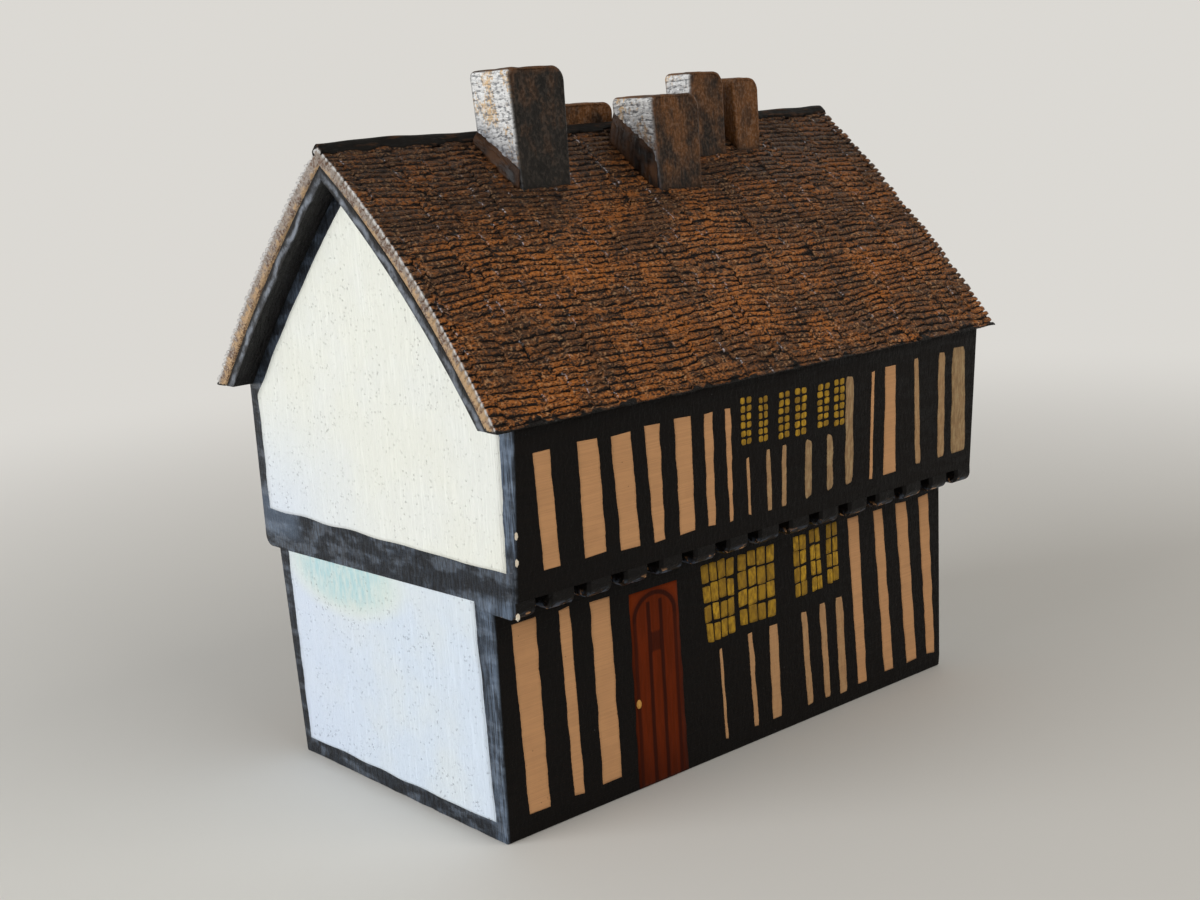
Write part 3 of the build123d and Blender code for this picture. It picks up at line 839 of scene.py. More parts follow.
def floor_paper(colour):
    """Pale paper. Far from the model, what the camera or a reflection sees of it is evenly pale."""
    f = Finish("floor_paper")
    fibre = f.noise((30.0, 30.0, 30.0), 2.0)
    paper = f.mix(fibre * 0.2, linear(colour), linear([c * 0.98 for c in colour]))
    sheet = f.node("ShaderNodeBsdfPrincipled", {}, {"Base Color": paper, "Roughness": 0.7})
    glow = f.node("ShaderNodeEmission", {}, {"Color": linear(colour), "Strength": 1.0})
    kinds = ("Camera", "Glossy", "Transmission")
    rays = [f.node("ShaderNodeLightPath", output=f"Is {kind} Ray") for kind in kinds]
    far = (f.axis("X") ** 2.0 + f.axis("Y") ** 2.0) ** 0.5
    seen = far.ease(120.0, 520.0) * (rays[0] + rays[1] + rays[2]).ease(0.0, 1.0)
    surface = f.node("ShaderNodeMixShader", {}, {0: seen, 1: sheet, 2: glow})
    f.node("ShaderNodeOutputMaterial", {}, {"Surface": surface})
    return f.material


# Pieces


def post(widths, height):
    """Width of the black timber beside a gable panel, at heights over the storey's foot."""
    foot, spread = widths
    return (foot + spread * height) * MM


def wall_block(shape, corners, radii, left, right, seed):
    """A convex outline carried along X, with worn edges.

    Each corner of the outline is an arc of its own radius between the normals of its two sides. At both
    ends the outline draws in along a quarter circle whose radius wanders round it.
    """
    corners, radii = np.array(corners), np.array(radii)[:, None]
    side = np.roll(corners, -1, 0) - corners
    normal = np.stack([side[:, 1], -side[:, 0]], 1) / np.linalg.norm(side, axis=1)[:, None]
    before = np.roll(normal, 1, 0)
    centre = corners - radii * (before + normal) / (1 + (before * normal).sum(1))[:, None]
    start = np.arctan2(before[:, 1], before[:, 0])
    turn = (np.arctan2(normal[:, 1], normal[:, 0]) - start + np.pi) % (2 * np.pi) - np.pi
    angle = start[:, None] + turn[:, None] * np.linspace(0, 1, 5)
    arc_normal = np.stack([np.cos(angle), np.sin(angle)], -1)
    arc = centre[:, None] + radii[:, None] * arc_normal
    share = np.linspace(0, 1, 24)[None, 1:-1, None]
    run = arc[:, -1:] + share * (np.roll(arc[:, :1], -1, 0) - arc[:, -1:])
    outline = np.concatenate([arc, run], 1).reshape(-1, 2)
    run_normal = np.broadcast_to(normal[:, None], run.shape)
    facing = np.concatenate([arc_normal, run_normal], 1).reshape(-1, 2)
    path = np.cumsum(np.linalg.norm(np.diff(outline, axis=0, prepend=outline[:1]), axis=1))
    edge = np.repeat(np.minimum(radii, np.roll(radii, -1, 0))[:, 0], arc.shape[1] + run.shape[1])
    wear = edge * np.clip(0.6 + 0.45 * ripple(path / (7 * MM), seed), 0.2, 0.95)
    quarter = np.linspace(0, np.pi / 2, 5)
    inset = np.concatenate([1 - np.sin(quarter), (1 - np.sin(quarter))[::-1]])[:, None] * wear
    x = np.concatenate([
        left + (1 - np.cos(quarter))[:, None] * wear, right - (1 - np.cos(quarter))[::-1, None] * wear
    ])
    yz = outline - inset[..., None] * facing
    index = shape.add(np.concatenate([x[..., None], yz], -1))
    shape.weave(np.concatenate([index, index[:, :1]], 1))
    shape.rings += [index[0], index[-1][::-1]]


def film(shape, face, left, right, foot, head, lift, sink, **marks):
    """A thin coat on a face: a grid between left and right edges, by row, and foot and head, by column."""
    rows, columns = len(left), len(foot)
    down, across = np.linspace(0, 1, rows)[:, None], np.linspace(0, 1, columns)[None]
    along = left[:, None] + across * (right - left)[:, None]
    up = foot[None] + down * (head - foot)[None]
    dome = np.minimum(1, 0.15 + 40 * across * (1 - across)) * np.minimum(1, 0.15 + 80 * down * (1 - down))
    shape.slab(face.at(along, up, lift * dome), face.at(along, up, -sink), **marks)


def stripes(shape, face, table, carving, seed):
    """Upright stripes whose nicked edges wander as a brush does; narrow grey ones have round ends."""
    down = np.linspace(0, 1, 80)
    for number, row in enumerate(table):
        head_left, head_right, foot_left, foot_right, foot, head, grey = row
        tall = down * (head - foot) * face.height
        wide = (head_right - head_left) * face.length
        sway = min(0.11 * MM, 0.09 * wide) / face.length
        key = seed + 10 * number

        def edge(start, end, inward, key):
            """Shares along one edge: a straight line, with a slow and a quick wander and nicks inwards."""
            nicks = np.clip(ripple(tall / (1.1 * MM), key + 2) - 1.0, 0, 1)
            slow, quick = ripple(tall / (9 * MM), key), ripple(tall / (1.5 * MM), key + 1)
            return start + (end - start) * down + sway * (slow + 0.35 * quick + 2.2 * inward * nicks)

        left, right = edge(foot_left, head_left, 1, key), edge(foot_right, head_right, -1, key + 3)
        blunt = 0.75 * grey * min(1, 2 * MM / wide)
        middle, taper = (left + right) / 2, np.sqrt(1 - blunt * (2 * down - 1) ** 16)
        slant = 0.2 * MM / face.height * ripple(np.array([0.0, 0.4]), key + 6)
        film(
            shape, face, middle + (left - middle) * taper, middle + (right - middle) * taper,
            foot + np.linspace(*slant, 7), head + np.linspace(*slant, 7)[::-1],
            carving.film, carving.sink, grey=grey,
        )


def panes(shape, face, table, form, carving, seed):
    """Small painted panes in each light: a grid bent to a rounded square, uneven in size and place."""
    rng = np.random.default_rng(seed)
    t = np.linspace(-1, 1, 6)
    u, v = np.meshgrid(t, t)
    round_u, round_v = u * np.sqrt(1 - form[2] * v**4), v * np.sqrt(1 - form[2] * u**4)
    dome = 1 - 0.8 * np.maximum(abs(u), abs(v)) ** 8
    for head_left, head_right, foot_left, foot_right, foot, head, columns, rows in table:
        for column in range(columns):
            for row in range(rows):
                jog = rng.uniform(-0.05, 0.05, 2)
                skew = rng.uniform(-0.08, 0.08, 2)
                half = 0.5 * np.array(form[:2]) * rng.uniform(0.88, 1.05, 2)
                across = (column + 0.5 + jog[0] + half[0] * (round_u + skew[0] * v)) / columns
                rise = (row + 0.5 + jog[1] + half[1] * (round_v + skew[1] * u)) / rows
                left = foot_left + rise * (head_left - foot_left)
                right = foot_right + rise * (head_right - foot_right)
                along, up = left + across * (right - left), foot + rise * (head - foot)
                shape.slab(
                    face.at(along, up, carving.film * dome), face.at(along, up, -carving.sink),
                    tone=rng.random(),
                )


def gable_panel(shape, x, outward, edges, low, high, front_rise, carving, seed):
    """White panel on a gable: rows between a front and a back edge, which are functions of the height."""
    z = np.linspace(low, high, 90)[:, None]
    front, back = (
        edge(z) + 0.16 * MM * ripple(z / (9 * MM), seed + n) + 0.05 * MM * ripple(z / (2 * MM), seed + 2 + n)
        for n, edge in enumerate(edges)
    )
    across = np.linspace(0, 1, 40)[None]
    y = front + across * (back - front)
    up = (z - low) / (high - low)
    z = z + 0.2 * MM * ripple(y[0] / (18 * MM), seed + 5) * (1 - up) + front_rise * (1 - across) * up
    dome = np.minimum(1, 0.5 + 60 * across * (1 - across))
    shape.slab(
        np.stack(np.broadcast_arrays(x + outward * carving.film * dome, y, z), -1),
        np.stack(np.broadcast_arrays(x - outward * carving.sink, y, z), -1),
    )


def gable_band(shape, carving):
    """Black paint over the left ends of the storeys and joists, as one band with two rounded lower corners.

    At each height the band ends short of the jetties by a quarter circle's pull, as the joist noses do.
    """
    noses = vertices(JOISTS[0])
    foot = noses[:, 2].min()
    clear, over_storey, radius, short = 0.05 * MM, 5.6 * MM, 2.2 * MM, 0.25 * MM
    z = np.linspace(foot + clear, STOREY + over_storey, 36)[:, None]
    over = np.clip(radius - (z - foot), 0, radius)
    pull = radius - np.sqrt(radius**2 - over**2) + short
    across = np.linspace(0, 1, 60)[None]
    near = front_wall(np.maximum(z, STOREY))
    y = near + pull + across * (UPPER_BACK - near - 2 * pull)
    thick = 0.25 * carving.film
    shape.slab(
        np.stack(np.broadcast_arrays(WALL_LEFT - thick, y, z), -1),
        np.stack(np.broadcast_arrays(WALL_LEFT + carving.sink, y, z), -1),
    )


def carved_tiles(shape, slope, carving, seed):
    """A tile layer with its courses carved in, as one closed grid that wraps round verges, eave and ridge.

    Down-slope cuts stand about a tile apart, each shifting sideways now and then, some deep and some
    faint. Between two cuts the courses have a slip of their own, so that butts step from column to column,
    and a tile is highest at its left cut. Across a course the surface climbs from the recess under the upper
    butts to a rounded bar, and a cut is a bell curve of the distance to it. The foot is cut off level.
    """
    rng = np.random.default_rng(seed)
    rows, columns, wide = carving.courses, carving.columns, carving.tile_width
    x = np.linspace(slope.left, slope.right, columns)
    tiles = int(1.2 * (slope.right - slope.left) / wide)
    shift = np.cumsum(rng.random((rows, tiles)) < 0.12, axis=0)

    def along_cut(low, high):
        """Values that stay the same down a cut until it shifts."""
        return np.take_along_axis(rng.uniform(low, high, (rows + 1, tiles)), shift, 0)

    place = slope.left - wide + np.cumsum(wide * rng.uniform(0.6, 1.4, tiles)) + wide * along_cut(-0.4, 0.4)
    joint = np.sort(place + rng.normal(0, 0.2 * MM, (rows, tiles)), axis=1)
    away = abs(x[None, :, None] - joint[:, None])
    gap = away.min(2)
    strong = np.take_along_axis(along_cut(0.0, 1.0) * rng.uniform(0.4, 1.0, (rows, tiles)), away.argmin(2), 1)
    tile = (x[None, :, None] > joint[:, None]).sum(2)

    def each(values):
        """Values by tile, as values by grid column."""
        return np.take_along_axis(values, tile, axis=1)

    start = each(np.concatenate([np.full((rows, 1), slope.left - wide), joint], 1))
    end = each(np.concatenate([joint, np.full((rows, 1), slope.right + wide)], 1))
    within = (x - start) / (end - start)
    slips = along_cut(-0.45, 0.45)
    slip = each(np.concatenate([slips, slips[:, -1:]], 1) + rng.uniform(-0.1, 0.1, (rows, tiles + 1)))
    tone = each(rng.random((rows, tiles + 1)))
    rise = each(rng.uniform(-0.3, 0.3, (rows, tiles + 1)))
    saw = each(rng.uniform(0, 1, (rows, tiles + 1)) ** 2) * (0.5 - within)
    # glint: where a painted glint goes, just right of a tile's left cut; it is stored as the mark "cut"
    glint = each(rng.random((rows, tiles + 1)) < 0.3) * np.exp(-((x - start) / (0.3 * MM)) ** 2)
    course = np.arange(rows)[:, None]
    wander = sum(
        much * mottle(x / (pitch * MM), course / tall, seed + n)
        for n, (much, pitch, tall) in enumerate(((0.8, 24, 6.0), (0.25, 8, 2.5), (0.12, 1.5, 1.0)))
    )
    butt = np.minimum(course + 1 + wander + slip, rows)
    butt[-1] = rows - 0.12 * (1 + ripple(x / (6 * MM), seed))
    above = np.concatenate([np.zeros((1, columns)), butt[:-1]])
    steps = np.array([0.02, 0.18, 0.34, 0.66, 0.96])[:, None]
    climb = np.array([0.0, 0.1, 0.75, 1.0, 0.9])[:, None]
    down = above[:, None] * (1 - steps) + butt[:, None] * steps
    cut = (strong * np.exp(-((gap / carving.tile_groove) ** 2)))[:, None]
    shallow = np.clip(0.1 + 0.4 * mottle(x / (6 * MM), course / 1.3, seed + 5), 0, 0.5)[:, None]
    lift = (climb + shallow * (1 - climb)) * (1 + rise[:, None]) * (1 - 0.8 * cut) + 0.8 * saw[:, None]
    share = (down / rows).reshape(-1, columns)
    line = np.arange(rows * len(steps))[:, None]
    lift = lift.reshape(-1, columns) + 0.11 * mottle(x / (0.75 * MM), line / 1.6, seed + 6)
    tone, glint = (np.repeat(a, len(steps), axis=0) for a in (tone, glint))
    swell = 0.25 * MM * mottle(x / (16 * MM), share * slope.length / (16 * MM), seed + 7)
    depth = np.maximum(carving.tile_relief * (1 - lift) + swell, -0.2 * MM)

    side_floor = slope.tile_depth * np.array([1.0, 0.74, 0.48, 0.22])
    foot_floor = slope.tile_depth * np.array([0.3, 0.65, 1.0])
    head_floor = slope.tile_depth * np.array([1.0, 0.5])
    pad = ((len(head_floor), len(foot_floor)), (len(side_floor), len(side_floor)))
    share, lift, tone, glint, depth = (np.pad(a, pad, mode="edge") for a in (share, lift, tone, glint, depth))
    across_floor = np.concatenate([side_floor, np.zeros(columns), side_floor[::-1]])
    down_floor = np.concatenate([head_floor, np.zeros(rows * len(steps)), foot_floor])
    depth = np.maximum(depth, np.maximum(across_floor, down_floor[:, None]))
    ends = len(side_floor)
    x = np.concatenate([np.full(ends, slope.left), x, np.full(ends, slope.right)])
    rag = 0.5 * MM * (lift - 0.55) * np.clip(1 - across_floor / slope.tile_depth, 0, 1)
    rag[:, ends + 1:-ends - 1] = 0
    x = x + np.where(np.arange(len(x)) < len(x) / 2, -1, 1) * rag
    verge = across_floor / slope.tile_depth
    verge[[ends, -ends - 1]] = 0.08
    points = slope.point(x, share, depth, carving.belly_change)
    points[..., 2] = np.maximum(points[..., 2], slope.eave[1])
    index = shape.add(points, lift=lift, tone=tone, cut=glint, verge=np.broadcast_to(verge, depth.shape))
    shape.weave(index)
    left, right = index[:, 0], index[:, -1]
    shape.quads.append(np.stack([left[1:-2], left[2:-1], right[2:-1], right[1:-2]], -1))
    head_ring = np.append(index[0], [right[1], left[1]])
    foot_ring = np.append(index[-1][::-1], [left[-2], right[-2]])
    shape.rings += [head_ring, foot_ring]


def ridge_cover(shape, carving):
    """Black ridge: a saddle over both slopes, carried along X with wavy edges and a wavy top.

    Across it, the height follows the slopes with their meeting line rounded off, plus a low parabola.
    """
    front, back = SLOPES[FRONT], SLOPES[BACK]
    x = np.linspace(front.left, front.right, 260)[:, None]
    t = np.linspace(-1, 1, 17)[None]
    wide = carving.ridge_width * (1 + 0.2 * ripple(x / (11 * MM), 41) + 0.1 * ripple(x / (3 * MM), 42))
    y = t * wide
    soft = 0.5 * MM
    reach = np.hypot(y, soft) - soft
    height = np.where(t < 0, front.height_at(-reach), back.height_at(reach))
    left_share = (x - front.left) / (front.right - front.left)
    hump = 0.5 * MM * np.exp(-((left_share - 0.12) / 0.08) ** 2)
    proud = carving.ridge_proud * (1 + 0.5 * ripple(x / (14 * MM), 43)) + hump
    settle, thick = 0.05 * MM, 1.2 * MM
    z = height + proud * (1 - t**2) - settle
    x, y, z = np.broadcast_arrays(x, y, z)
    shape.slab(np.stack([x, y, z], -1), np.stack([x, 0.9 * y, z - thick], -1))


def brickwork(y, z, carving, seed):
    """Carved bricks, 1 on a brick and 0 in a joint: lobes in staggered, wavy courses, uneven in width."""
    lie = z / carving.brick_course + 0.22 * mottle(y / (1.6 * MM), z / (7 * MM), seed)
    course = np.floor(lie).astype(int)
    uneven = 0.35 * mottle(y / (4 * MM), course * 1.37, seed + 1)
    stand = y / carving.brick_width + 0.5 * (course % 2) + uneven
    brick = np.floor(stand).astype(int)
    rough = 0.7 + 0.3 * mottle(brick * 3.7, course * 5.3, seed + 2)
    return rough * (np.sin(np.pi * (stand - brick)) * np.sin(np.pi * (lie - course))) ** 0.55


def chimney_stack(shape, node, slope, warm, carved, rounded, carving, seed):
    """A chimney: an upright outline with rounded top corners, carried from front to back and closed there.

    The left side leans out upwards, the foot follows the slope under it, and the left and right sides are
    carved with bricks. Front and back edges draw in along a quarter circle.
    """
    corners = vertices(node)
    low, high = corners.min(0), corners.max(0)
    grid_step, crown_tall, fade_wide, ragged_tall = 0.32 * MM, 4 * MM, 0.8 * MM, 0.12 * MM
    hollow_deep, dish_deep, top_tall = 0.18 * MM, 0.15 * MM, 1.2 * MM
    crown = corners[corners[:, 2] > high[2] - crown_tall]
    left, right = crown[:, 0].min(), crown[:, 0].max()
    lean = math.tan(math.radians(4.0))
    corner, edge = carving.stack_corner, carving.stack_edge
    quarter = np.linspace(0, np.pi / 2, 4)
    deep = max(8, int((high[1] - low[1]) / grid_step))
    y = np.concatenate([
        low[1] + edge * (1 - np.cos(quarter)), np.linspace(low[1] + edge, high[1] - edge, deep)[1:-1],
        high[1] - edge * (1 - np.cos(quarter[::-1])),
    ])[:, None]
    draw_in = 1 - np.sin(quarter)
    inset = np.concatenate([draw_in, np.zeros(deep - 2), draw_in[::-1]])[:, None] * edge
    foot = slope.height_at(y) - 3 * carving.sink
    shaft, flat = int((high[2] - foot.min()) / grid_step), int((right - left) / grid_step)
    rise = np.linspace(0, 1, shaft)[None]
    bend = np.linspace(0, np.pi / 2, 8)[None, 1:]

    def flank(corner):
        """Heights up one side and round its top corner, and how far that draws in."""
        spring = high[2] - corner
        shoulder = spring + (corner - inset) * np.sin(bend) + 0 * y
        z = np.concatenate([foot + rise * (spring - foot), shoulder], 1)
        return z, np.concatenate([np.zeros((1, shaft)), corner * (1 - np.cos(bend))], 1)

    left_z, left_pull = flank(min(0.5, rounded) * corner)
    right_z, right_pull = flank(rounded * corner)
    side_left = left + inset + left_pull + (high[2] - left_z) * lean
    side_right = right - inset - right_pull + 0 * right_z
    across = np.linspace(0, 1, flat)[None, 1:-1]
    top_x = side_left[:, -1:] + across * (side_right - side_left)[:, -1:]
    top_z = left_z[:, -1:] + 0 * across
    x = np.concatenate([side_left, top_x, side_right[:, ::-1]], 1)
    z = np.concatenate([left_z, top_z, right_z[:, ::-1]], 1)
    steps = left_z.shape[1]
    on_side = np.zeros(x.shape[1])
    on_side[: shaft + 3] = 1
    on_side[-shaft - 3:] = -1
    bricks = brickwork(y + 0 * z, z, carving, seed)
    fade = np.clip((y - low[1]) / fade_wide, 0, 1) * np.clip((high[1] - y) / fade_wide, 0, 1)
    fade = carved * fade
    x = x + on_side * fade * carving.brick_relief * (1 - bricks)
    ragged = ragged_tall * mottle(x / (2.2 * MM), (y + z) / (2.2 * MM), seed + 4)
    z = z + (on_side == 0) * ragged
    brick = abs(on_side) * fade
    top = np.broadcast_to((on_side == 0) * 1.0, x.shape)
    band = shape.add(
        np.stack([x, y + 0 * x, z], -1), lift=np.where(on_side == 0, 1.0, bricks), brick=brick, top=top,
        warm=warm, up=(z - foot) / (high[2] - foot),
    )
    shape.weave(band)
    share = np.linspace(0, 1, flat)[1:-1]
    for end, outward in ((0, -1), (-1, 1)):
        row_left, row_right = band[end][:steps], band[end][::-1][:steps]
        ends = np.stack([x[end], np.broadcast_to(y[end], x[end].shape), z[end]], -1)
        first, last = ends[:steps - 1], ends[::-1][:steps - 1]
        inner = first[:, None] + share[None, :, None] * (last - first)[:, None]
        hollow = hollow_deep * mottle(inner[..., 0] / (4 * MM), inner[..., 2] / (6 * MM), seed + 6)
        inner[..., 1] -= outward * (hollow + dish_deep) * np.minimum(1, 12 * share * (1 - share))
        near_top = np.clip((inner[..., 2] - high[2] + top_tall) / top_tall, 0, 1)
        up = (inner[..., 2] - foot[end]) / (high[2] - foot[end])
        inner = shape.add(inner, lift=1.0, brick=0.0, top=near_top, warm=warm, up=up)
        grid = np.concatenate([row_left[:-1, None], inner, row_right[:-1, None]], 1)
        grid = np.concatenate([grid, band[end][None, steps - 1:-steps + 1]], 0)
        shape.weave(grid if end == 0 else grid[:, ::-1])
        if end == 0:
            sole = list(grid[0])
        else:
            sole = sole + list(band[1:-1, -1]) + list(grid[0][::-1]) + list(band[1:-1, 0][::-1])
    shape.rings.append(np.array(sole))


def flashing(shape, node, slope, sizes, carving, seed):
    """A smooth wedge along the left foot of a chimney: a strip of the slope, raised towards the chimney.

    Across it the height falls off as a power of the distance; height and width change evenly from back to
    front, where the width closes against the chimney's corner.
    """
    inside, short, tuck = 0.3 * MM, 0.5 * MM, 0.6 * MM
    corners = vertices(node)
    low, high = corners.min(0), corners.max(0)
    foot = corners[corners[:, 2] < low[2] + 0.5 * (high[2] - low[2]), 0].min()
    reach = np.sort(abs(np.array([low[1], high[1]])))
    ahead = np.linspace(0, 1, 60)[:, None]
    share = (reach[0] + inside + ahead * (reach[1] - reach[0] - short)) / abs(slope.chord[0])
    across = np.linspace(0, 1, 13)[None]
    tall_back, tall_front, wide_back, wide_front = (length * MM for length in sizes)
    wide = (wide_back + ahead * (wide_front - wide_back)) * (1 + 0.1 * ripple(4 * ahead, seed))
    x = foot + tuck - across * wide * (1 - 0.75 * ahead**10)
    belly = 4 * slope.crown * share * (1 - share) * slope.outward[0] / slope.chord[0]
    outer = slope.point(x, share - belly, -carving.film, carving.belly_change)
    outer[..., 2] += (tall_back + ahead * (tall_front - tall_back)) * (1 - across) ** 0.8
    under = slope.point(x, share - belly, carving.tile_relief + 2 * carving.sink, carving.belly_change)
    shape.slab(outer, under)


def dab(shape, face, along, up, lift, sink):
    """A closed lump on a face, from rings round its middle; a ring's last point stands for its first."""
    index = shape.add(face.at(along, up, lift))
    index[:, -1] = index[:, 0]
    shape.weave(index)
    under = shape.add(face.at(along[-1], up[-1], -sink))
    under[-1] = under[0]
    shape.weave(np.stack([index[-1], under]))
    shape.rings += [index[0][:-1], under[:-1]]


def knob(shape, face, carving):
    """A dab of paint: half of a flattened ellipsoid, by angle round it and distance from its middle."""
    out = np.linspace(0.02, 1, 8)[:, None]
    turn = np.linspace(0, 2 * np.pi, 25)[None]
    along = KNOB_SHARES[0] + out * np.cos(turn) * KNOB_HALF_WIDE / face.length
    up = KNOB_SHARES[1] + out * np.sin(turn) * KNOB_HALF_TALL / face.height
    lift = carving.film + KNOB_THICK * np.sqrt(1 - out**2) + 0 * turn
    dab(shape, face, along, up, lift, carving.sink)


def chips(shape, face, carving):
    """Chips in the corner: small lumps by angle and distance, with an uneven rim, just inside the corner."""
    out = np.linspace(0.02, 1, 6)[:, None]
    turn = np.linspace(0, 2 * np.pi, 21)[None]
    for number, height in enumerate(CHIP_SHARES):
        rim = out * (1 + 0.25 * ripple(np.cos(turn) + 2 * np.sin(turn), 60 + number))
        along = (CHIP_INSIDE + rim * np.cos(turn) * CHIP_HALF_WIDE) / face.length
        up = height + rim * np.sin(turn) * CHIP_HALF_TALL / face.height
        lift = CHIP_THICK * (1 - out**2) + CHIP_LIFT + 0 * turn
        dab(shape, face, along, up, lift, carving.sink)


# Operators


class CottageOperator:
    """What the operators share: the settings of the scene."""

    bl_options = {"REGISTER", "UNDO"}

    @property
    def paint(self):
        return bpy.context.scene.cottage_paint

    @property
    def carving(self):
        return bpy.context.scene.cottage_carving


class COTTAGE_OT_walls(CottageOperator, Operator):
    """Make both storeys with worn edges, and paint the joist ends and the boards"""

    bl_idname = "cottage.walls"
    bl_label = "Walls and Timbers"

    def execute(self, context):
        paint = timber_paint(self.paint)
        edge, crisp = self.carving.wall_edge, 0.1 * self.carving.wall_edge
        front, back = SLOPES[FRONT], SLOPES[BACK]
        gable = []
        for slope in (front, back):
            apex = slope.height_at(0.0, slope.board_depth)
            z = EAVE + (apex - EAVE) * np.linspace(0, 1, 12)
            y = slope.side * slope.reach_at(z, slope.board_depth)
            gable.append(np.stack([y, z], -1))
        apex = gable[0][-1:] * [0, 1]
        upper = np.concatenate([
            [(JETTY_FRONT, STOREY), (UPPER_BACK, STOREY), (UPPER_BACK, EAVE)],
            gable[1][:-1], apex, gable[0][-2::-1], [(UPPER_FRONT, EAVE)],
        ])
        lower = [(FOOT_FRONT, 0), (FOOT_BACK, 0), (HEAD_BACK, STOREY), (HEAD_FRONT, STOREY)]
        upper_edges = [crisp] * len(upper)
        upper_edges[-1] = edge
        lower_edges = [edge, edge, crisp, crisp]
        for name, corners, radii, right, seed in (
            ("upper", upper, upper_edges, WALL_RIGHT, 5), ("ground", lower, lower_edges, GROUND_RIGHT, 8),
        ):
            shape = Shape()
            wall_block(shape, corners, radii, WALL_LEFT, right, seed)
            shape.piece(f"{name}_storey", paint, [f"{name}_floor"])
        finishes = dict.fromkeys((*JOISTS, "back_joist_ends"), joist_paint(self.paint))
        finishes["roof_board_front"] = soffit_paint(self.paint, front)
        finishes["roof_board_back"] = soffit_paint(self.paint, back)
        for node, finish in finishes.items():
            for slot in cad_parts[node].material_slots:
                slot.material = finish
        return {"FINISHED"}


class COTTAGE_OT_gable_panels(CottageOperator, Operator):
    """Make the white panels on both gables"""

    bl_idname = "cottage.gable_panels"
    bl_label = "Gable Panels"

    def execute(self, context):
        carving = self.carving
        front, back = SLOPES[FRONT], SLOPES[BACK]
        cream = gable_paint(self.paint, "gable_cream_paint", self.paint.gable_cream)
        cool = gable_paint(self.paint, "gable_cool_paint", self.paint.gable_white_cool_light, STAIN)
        upper = (
            lambda z: np.maximum(
                front_wall(z) + post(UPPER_FRONT_POST, z - STOREY),
                -front.reach_at(z, front.board_depth + FRONT_RAFTER),
            ),
            lambda z: np.minimum(
                UPPER_BACK - post(UPPER_BACK_POST, z - STOREY),
                back.reach_at(z, back.board_depth + BACK_RAFTER),
            ),
        )
        lower = (
            lambda z: FOOT_FRONT + (HEAD_FRONT - FOOT_FRONT) * z / STOREY + post(LOWER_FRONT_POST, z),
            lambda z: FOOT_BACK + (HEAD_BACK - FOOT_BACK) * z / STOREY - post(LOWER_BACK_POST, z),
        )
        for end, x_upper, x_lower, outward in (
            ("left", WALL_LEFT, WALL_LEFT, -1), ("right", WALL_RIGHT, GROUND_RIGHT, 1),
        ):
            shape = Shape()
            gable_panel(
                shape, x_upper, outward, upper, UPPER_PANEL_FOOT, UPPER_PANEL_HEAD, 0.0, carving, 20 + outward
            )
            shape.piece(f"{end}_gable_upper_panel", cream)
            shape = Shape()
            gable_panel(
                shape, x_lower, outward, lower, LOWER_PANEL_FOOT, LOWER_PANEL_HEAD, LOWER_PANEL_RISE,
                carving, 30 + outward,
            )
            shape.piece(f"{end}_gable_lower_panel", cool)
        shape = Shape()
        gable_band(shape, carving)
        shape.piece("left_gable_band", bpy.data.materials["timber_paint"])
        return {"FINISHED"}


class COTTAGE_OT_stripes(CottageOperator, Operator):
    """Make the bare wood stripes between the black timbers, on the front and the back"""

    bl_idname = "cottage.stripes"
    bl_label = "Stripes"

    def execute(self, context):
        wood = bare_wood(self.paint)
        for name, face, table, seed in (
            ("front_upper", FRONT_UPPER, UPPER_STRIPE_SHARES, 1000),
            ("front_lower", FRONT_LOWER, LOWER_STRIPE_SHARES, 2000),
            ("back_upper", BACK_UPPER, UPPER_STRIPE_SHARES, 3000),
            ("back_lower", BACK_LOWER, BACK_STRIPE_SHARES, 4000),
        ):
            shape = Shape()
            stripes(shape, face, table, self.carving, seed)
            shape.piece(f"{name}_stripes", wood)
        return {"FINISHED"}


class COTTAGE_OT_windows(CottageOperator, Operator):
    """Make the painted window panes"""

    bl_idname = "cottage.windows"
    bl_label = "Windows"

    def execute(self, context):
        yellow = pane_paint(self.paint)
        for name, face, table, form, seed in (
            ("front_upper", FRONT_UPPER, UPPER_LIGHT_SHARES, UPPER_PANE_FORM, 51),
            ("front_lower", FRONT_LOWER, LOWER_LIGHT_SHARES, LOWER_PANE_FORM, 52),
            ("back_upper", BACK_UPPER, UPPER_LIGHT_SHARES, UPPER_PANE_FORM, 53),
            ("back_lower", BACK_LOWER, LOWER_LIGHT_SHARES, LOWER_PANE_FORM, 54),
        ):
            shape = Shape()
            panes(shape, face, table, form, self.carving, seed)
            shape.piece(f"{name}_panes", yellow)
        return {"FINISHED"}


class COTTAGE_OT_door(CottageOperator, Operator):
    """Make the painted door with its knob, and the chips in the corner"""

    bl_idname = "cottage.door"
    bl_label = "Door"

    def execute(self, context):
        face, carving = FRONT_LOWER, self.carving
        left, right, foot_left, foot_right, head = DOOR_SHARES
        down = np.linspace(0, 1, 60)
        sway = 0.12 * MM / face.length
        shape = Shape()
        film(
            shape, face,
            foot_left + (left - foot_left) * down + sway * ripple(5 * down, 71),
            foot_right + (right - foot_right) * down + sway * ripple(5 * down, 72),
            np.full(15, 0.004), np.full(15, head), carving.film, carving.sink,
        )
        shape.piece("front_door", door_paint(self.paint, face))
        shape = Shape()
        knob(shape, face, carving)
        shape.piece("door_knob", knob_paint(self.paint))
        shape = Shape()
        chips(shape, FRONT_UPPER, carving)
        shape.piece("corner_chips", chip_wood())
        return {"FINISHED"}


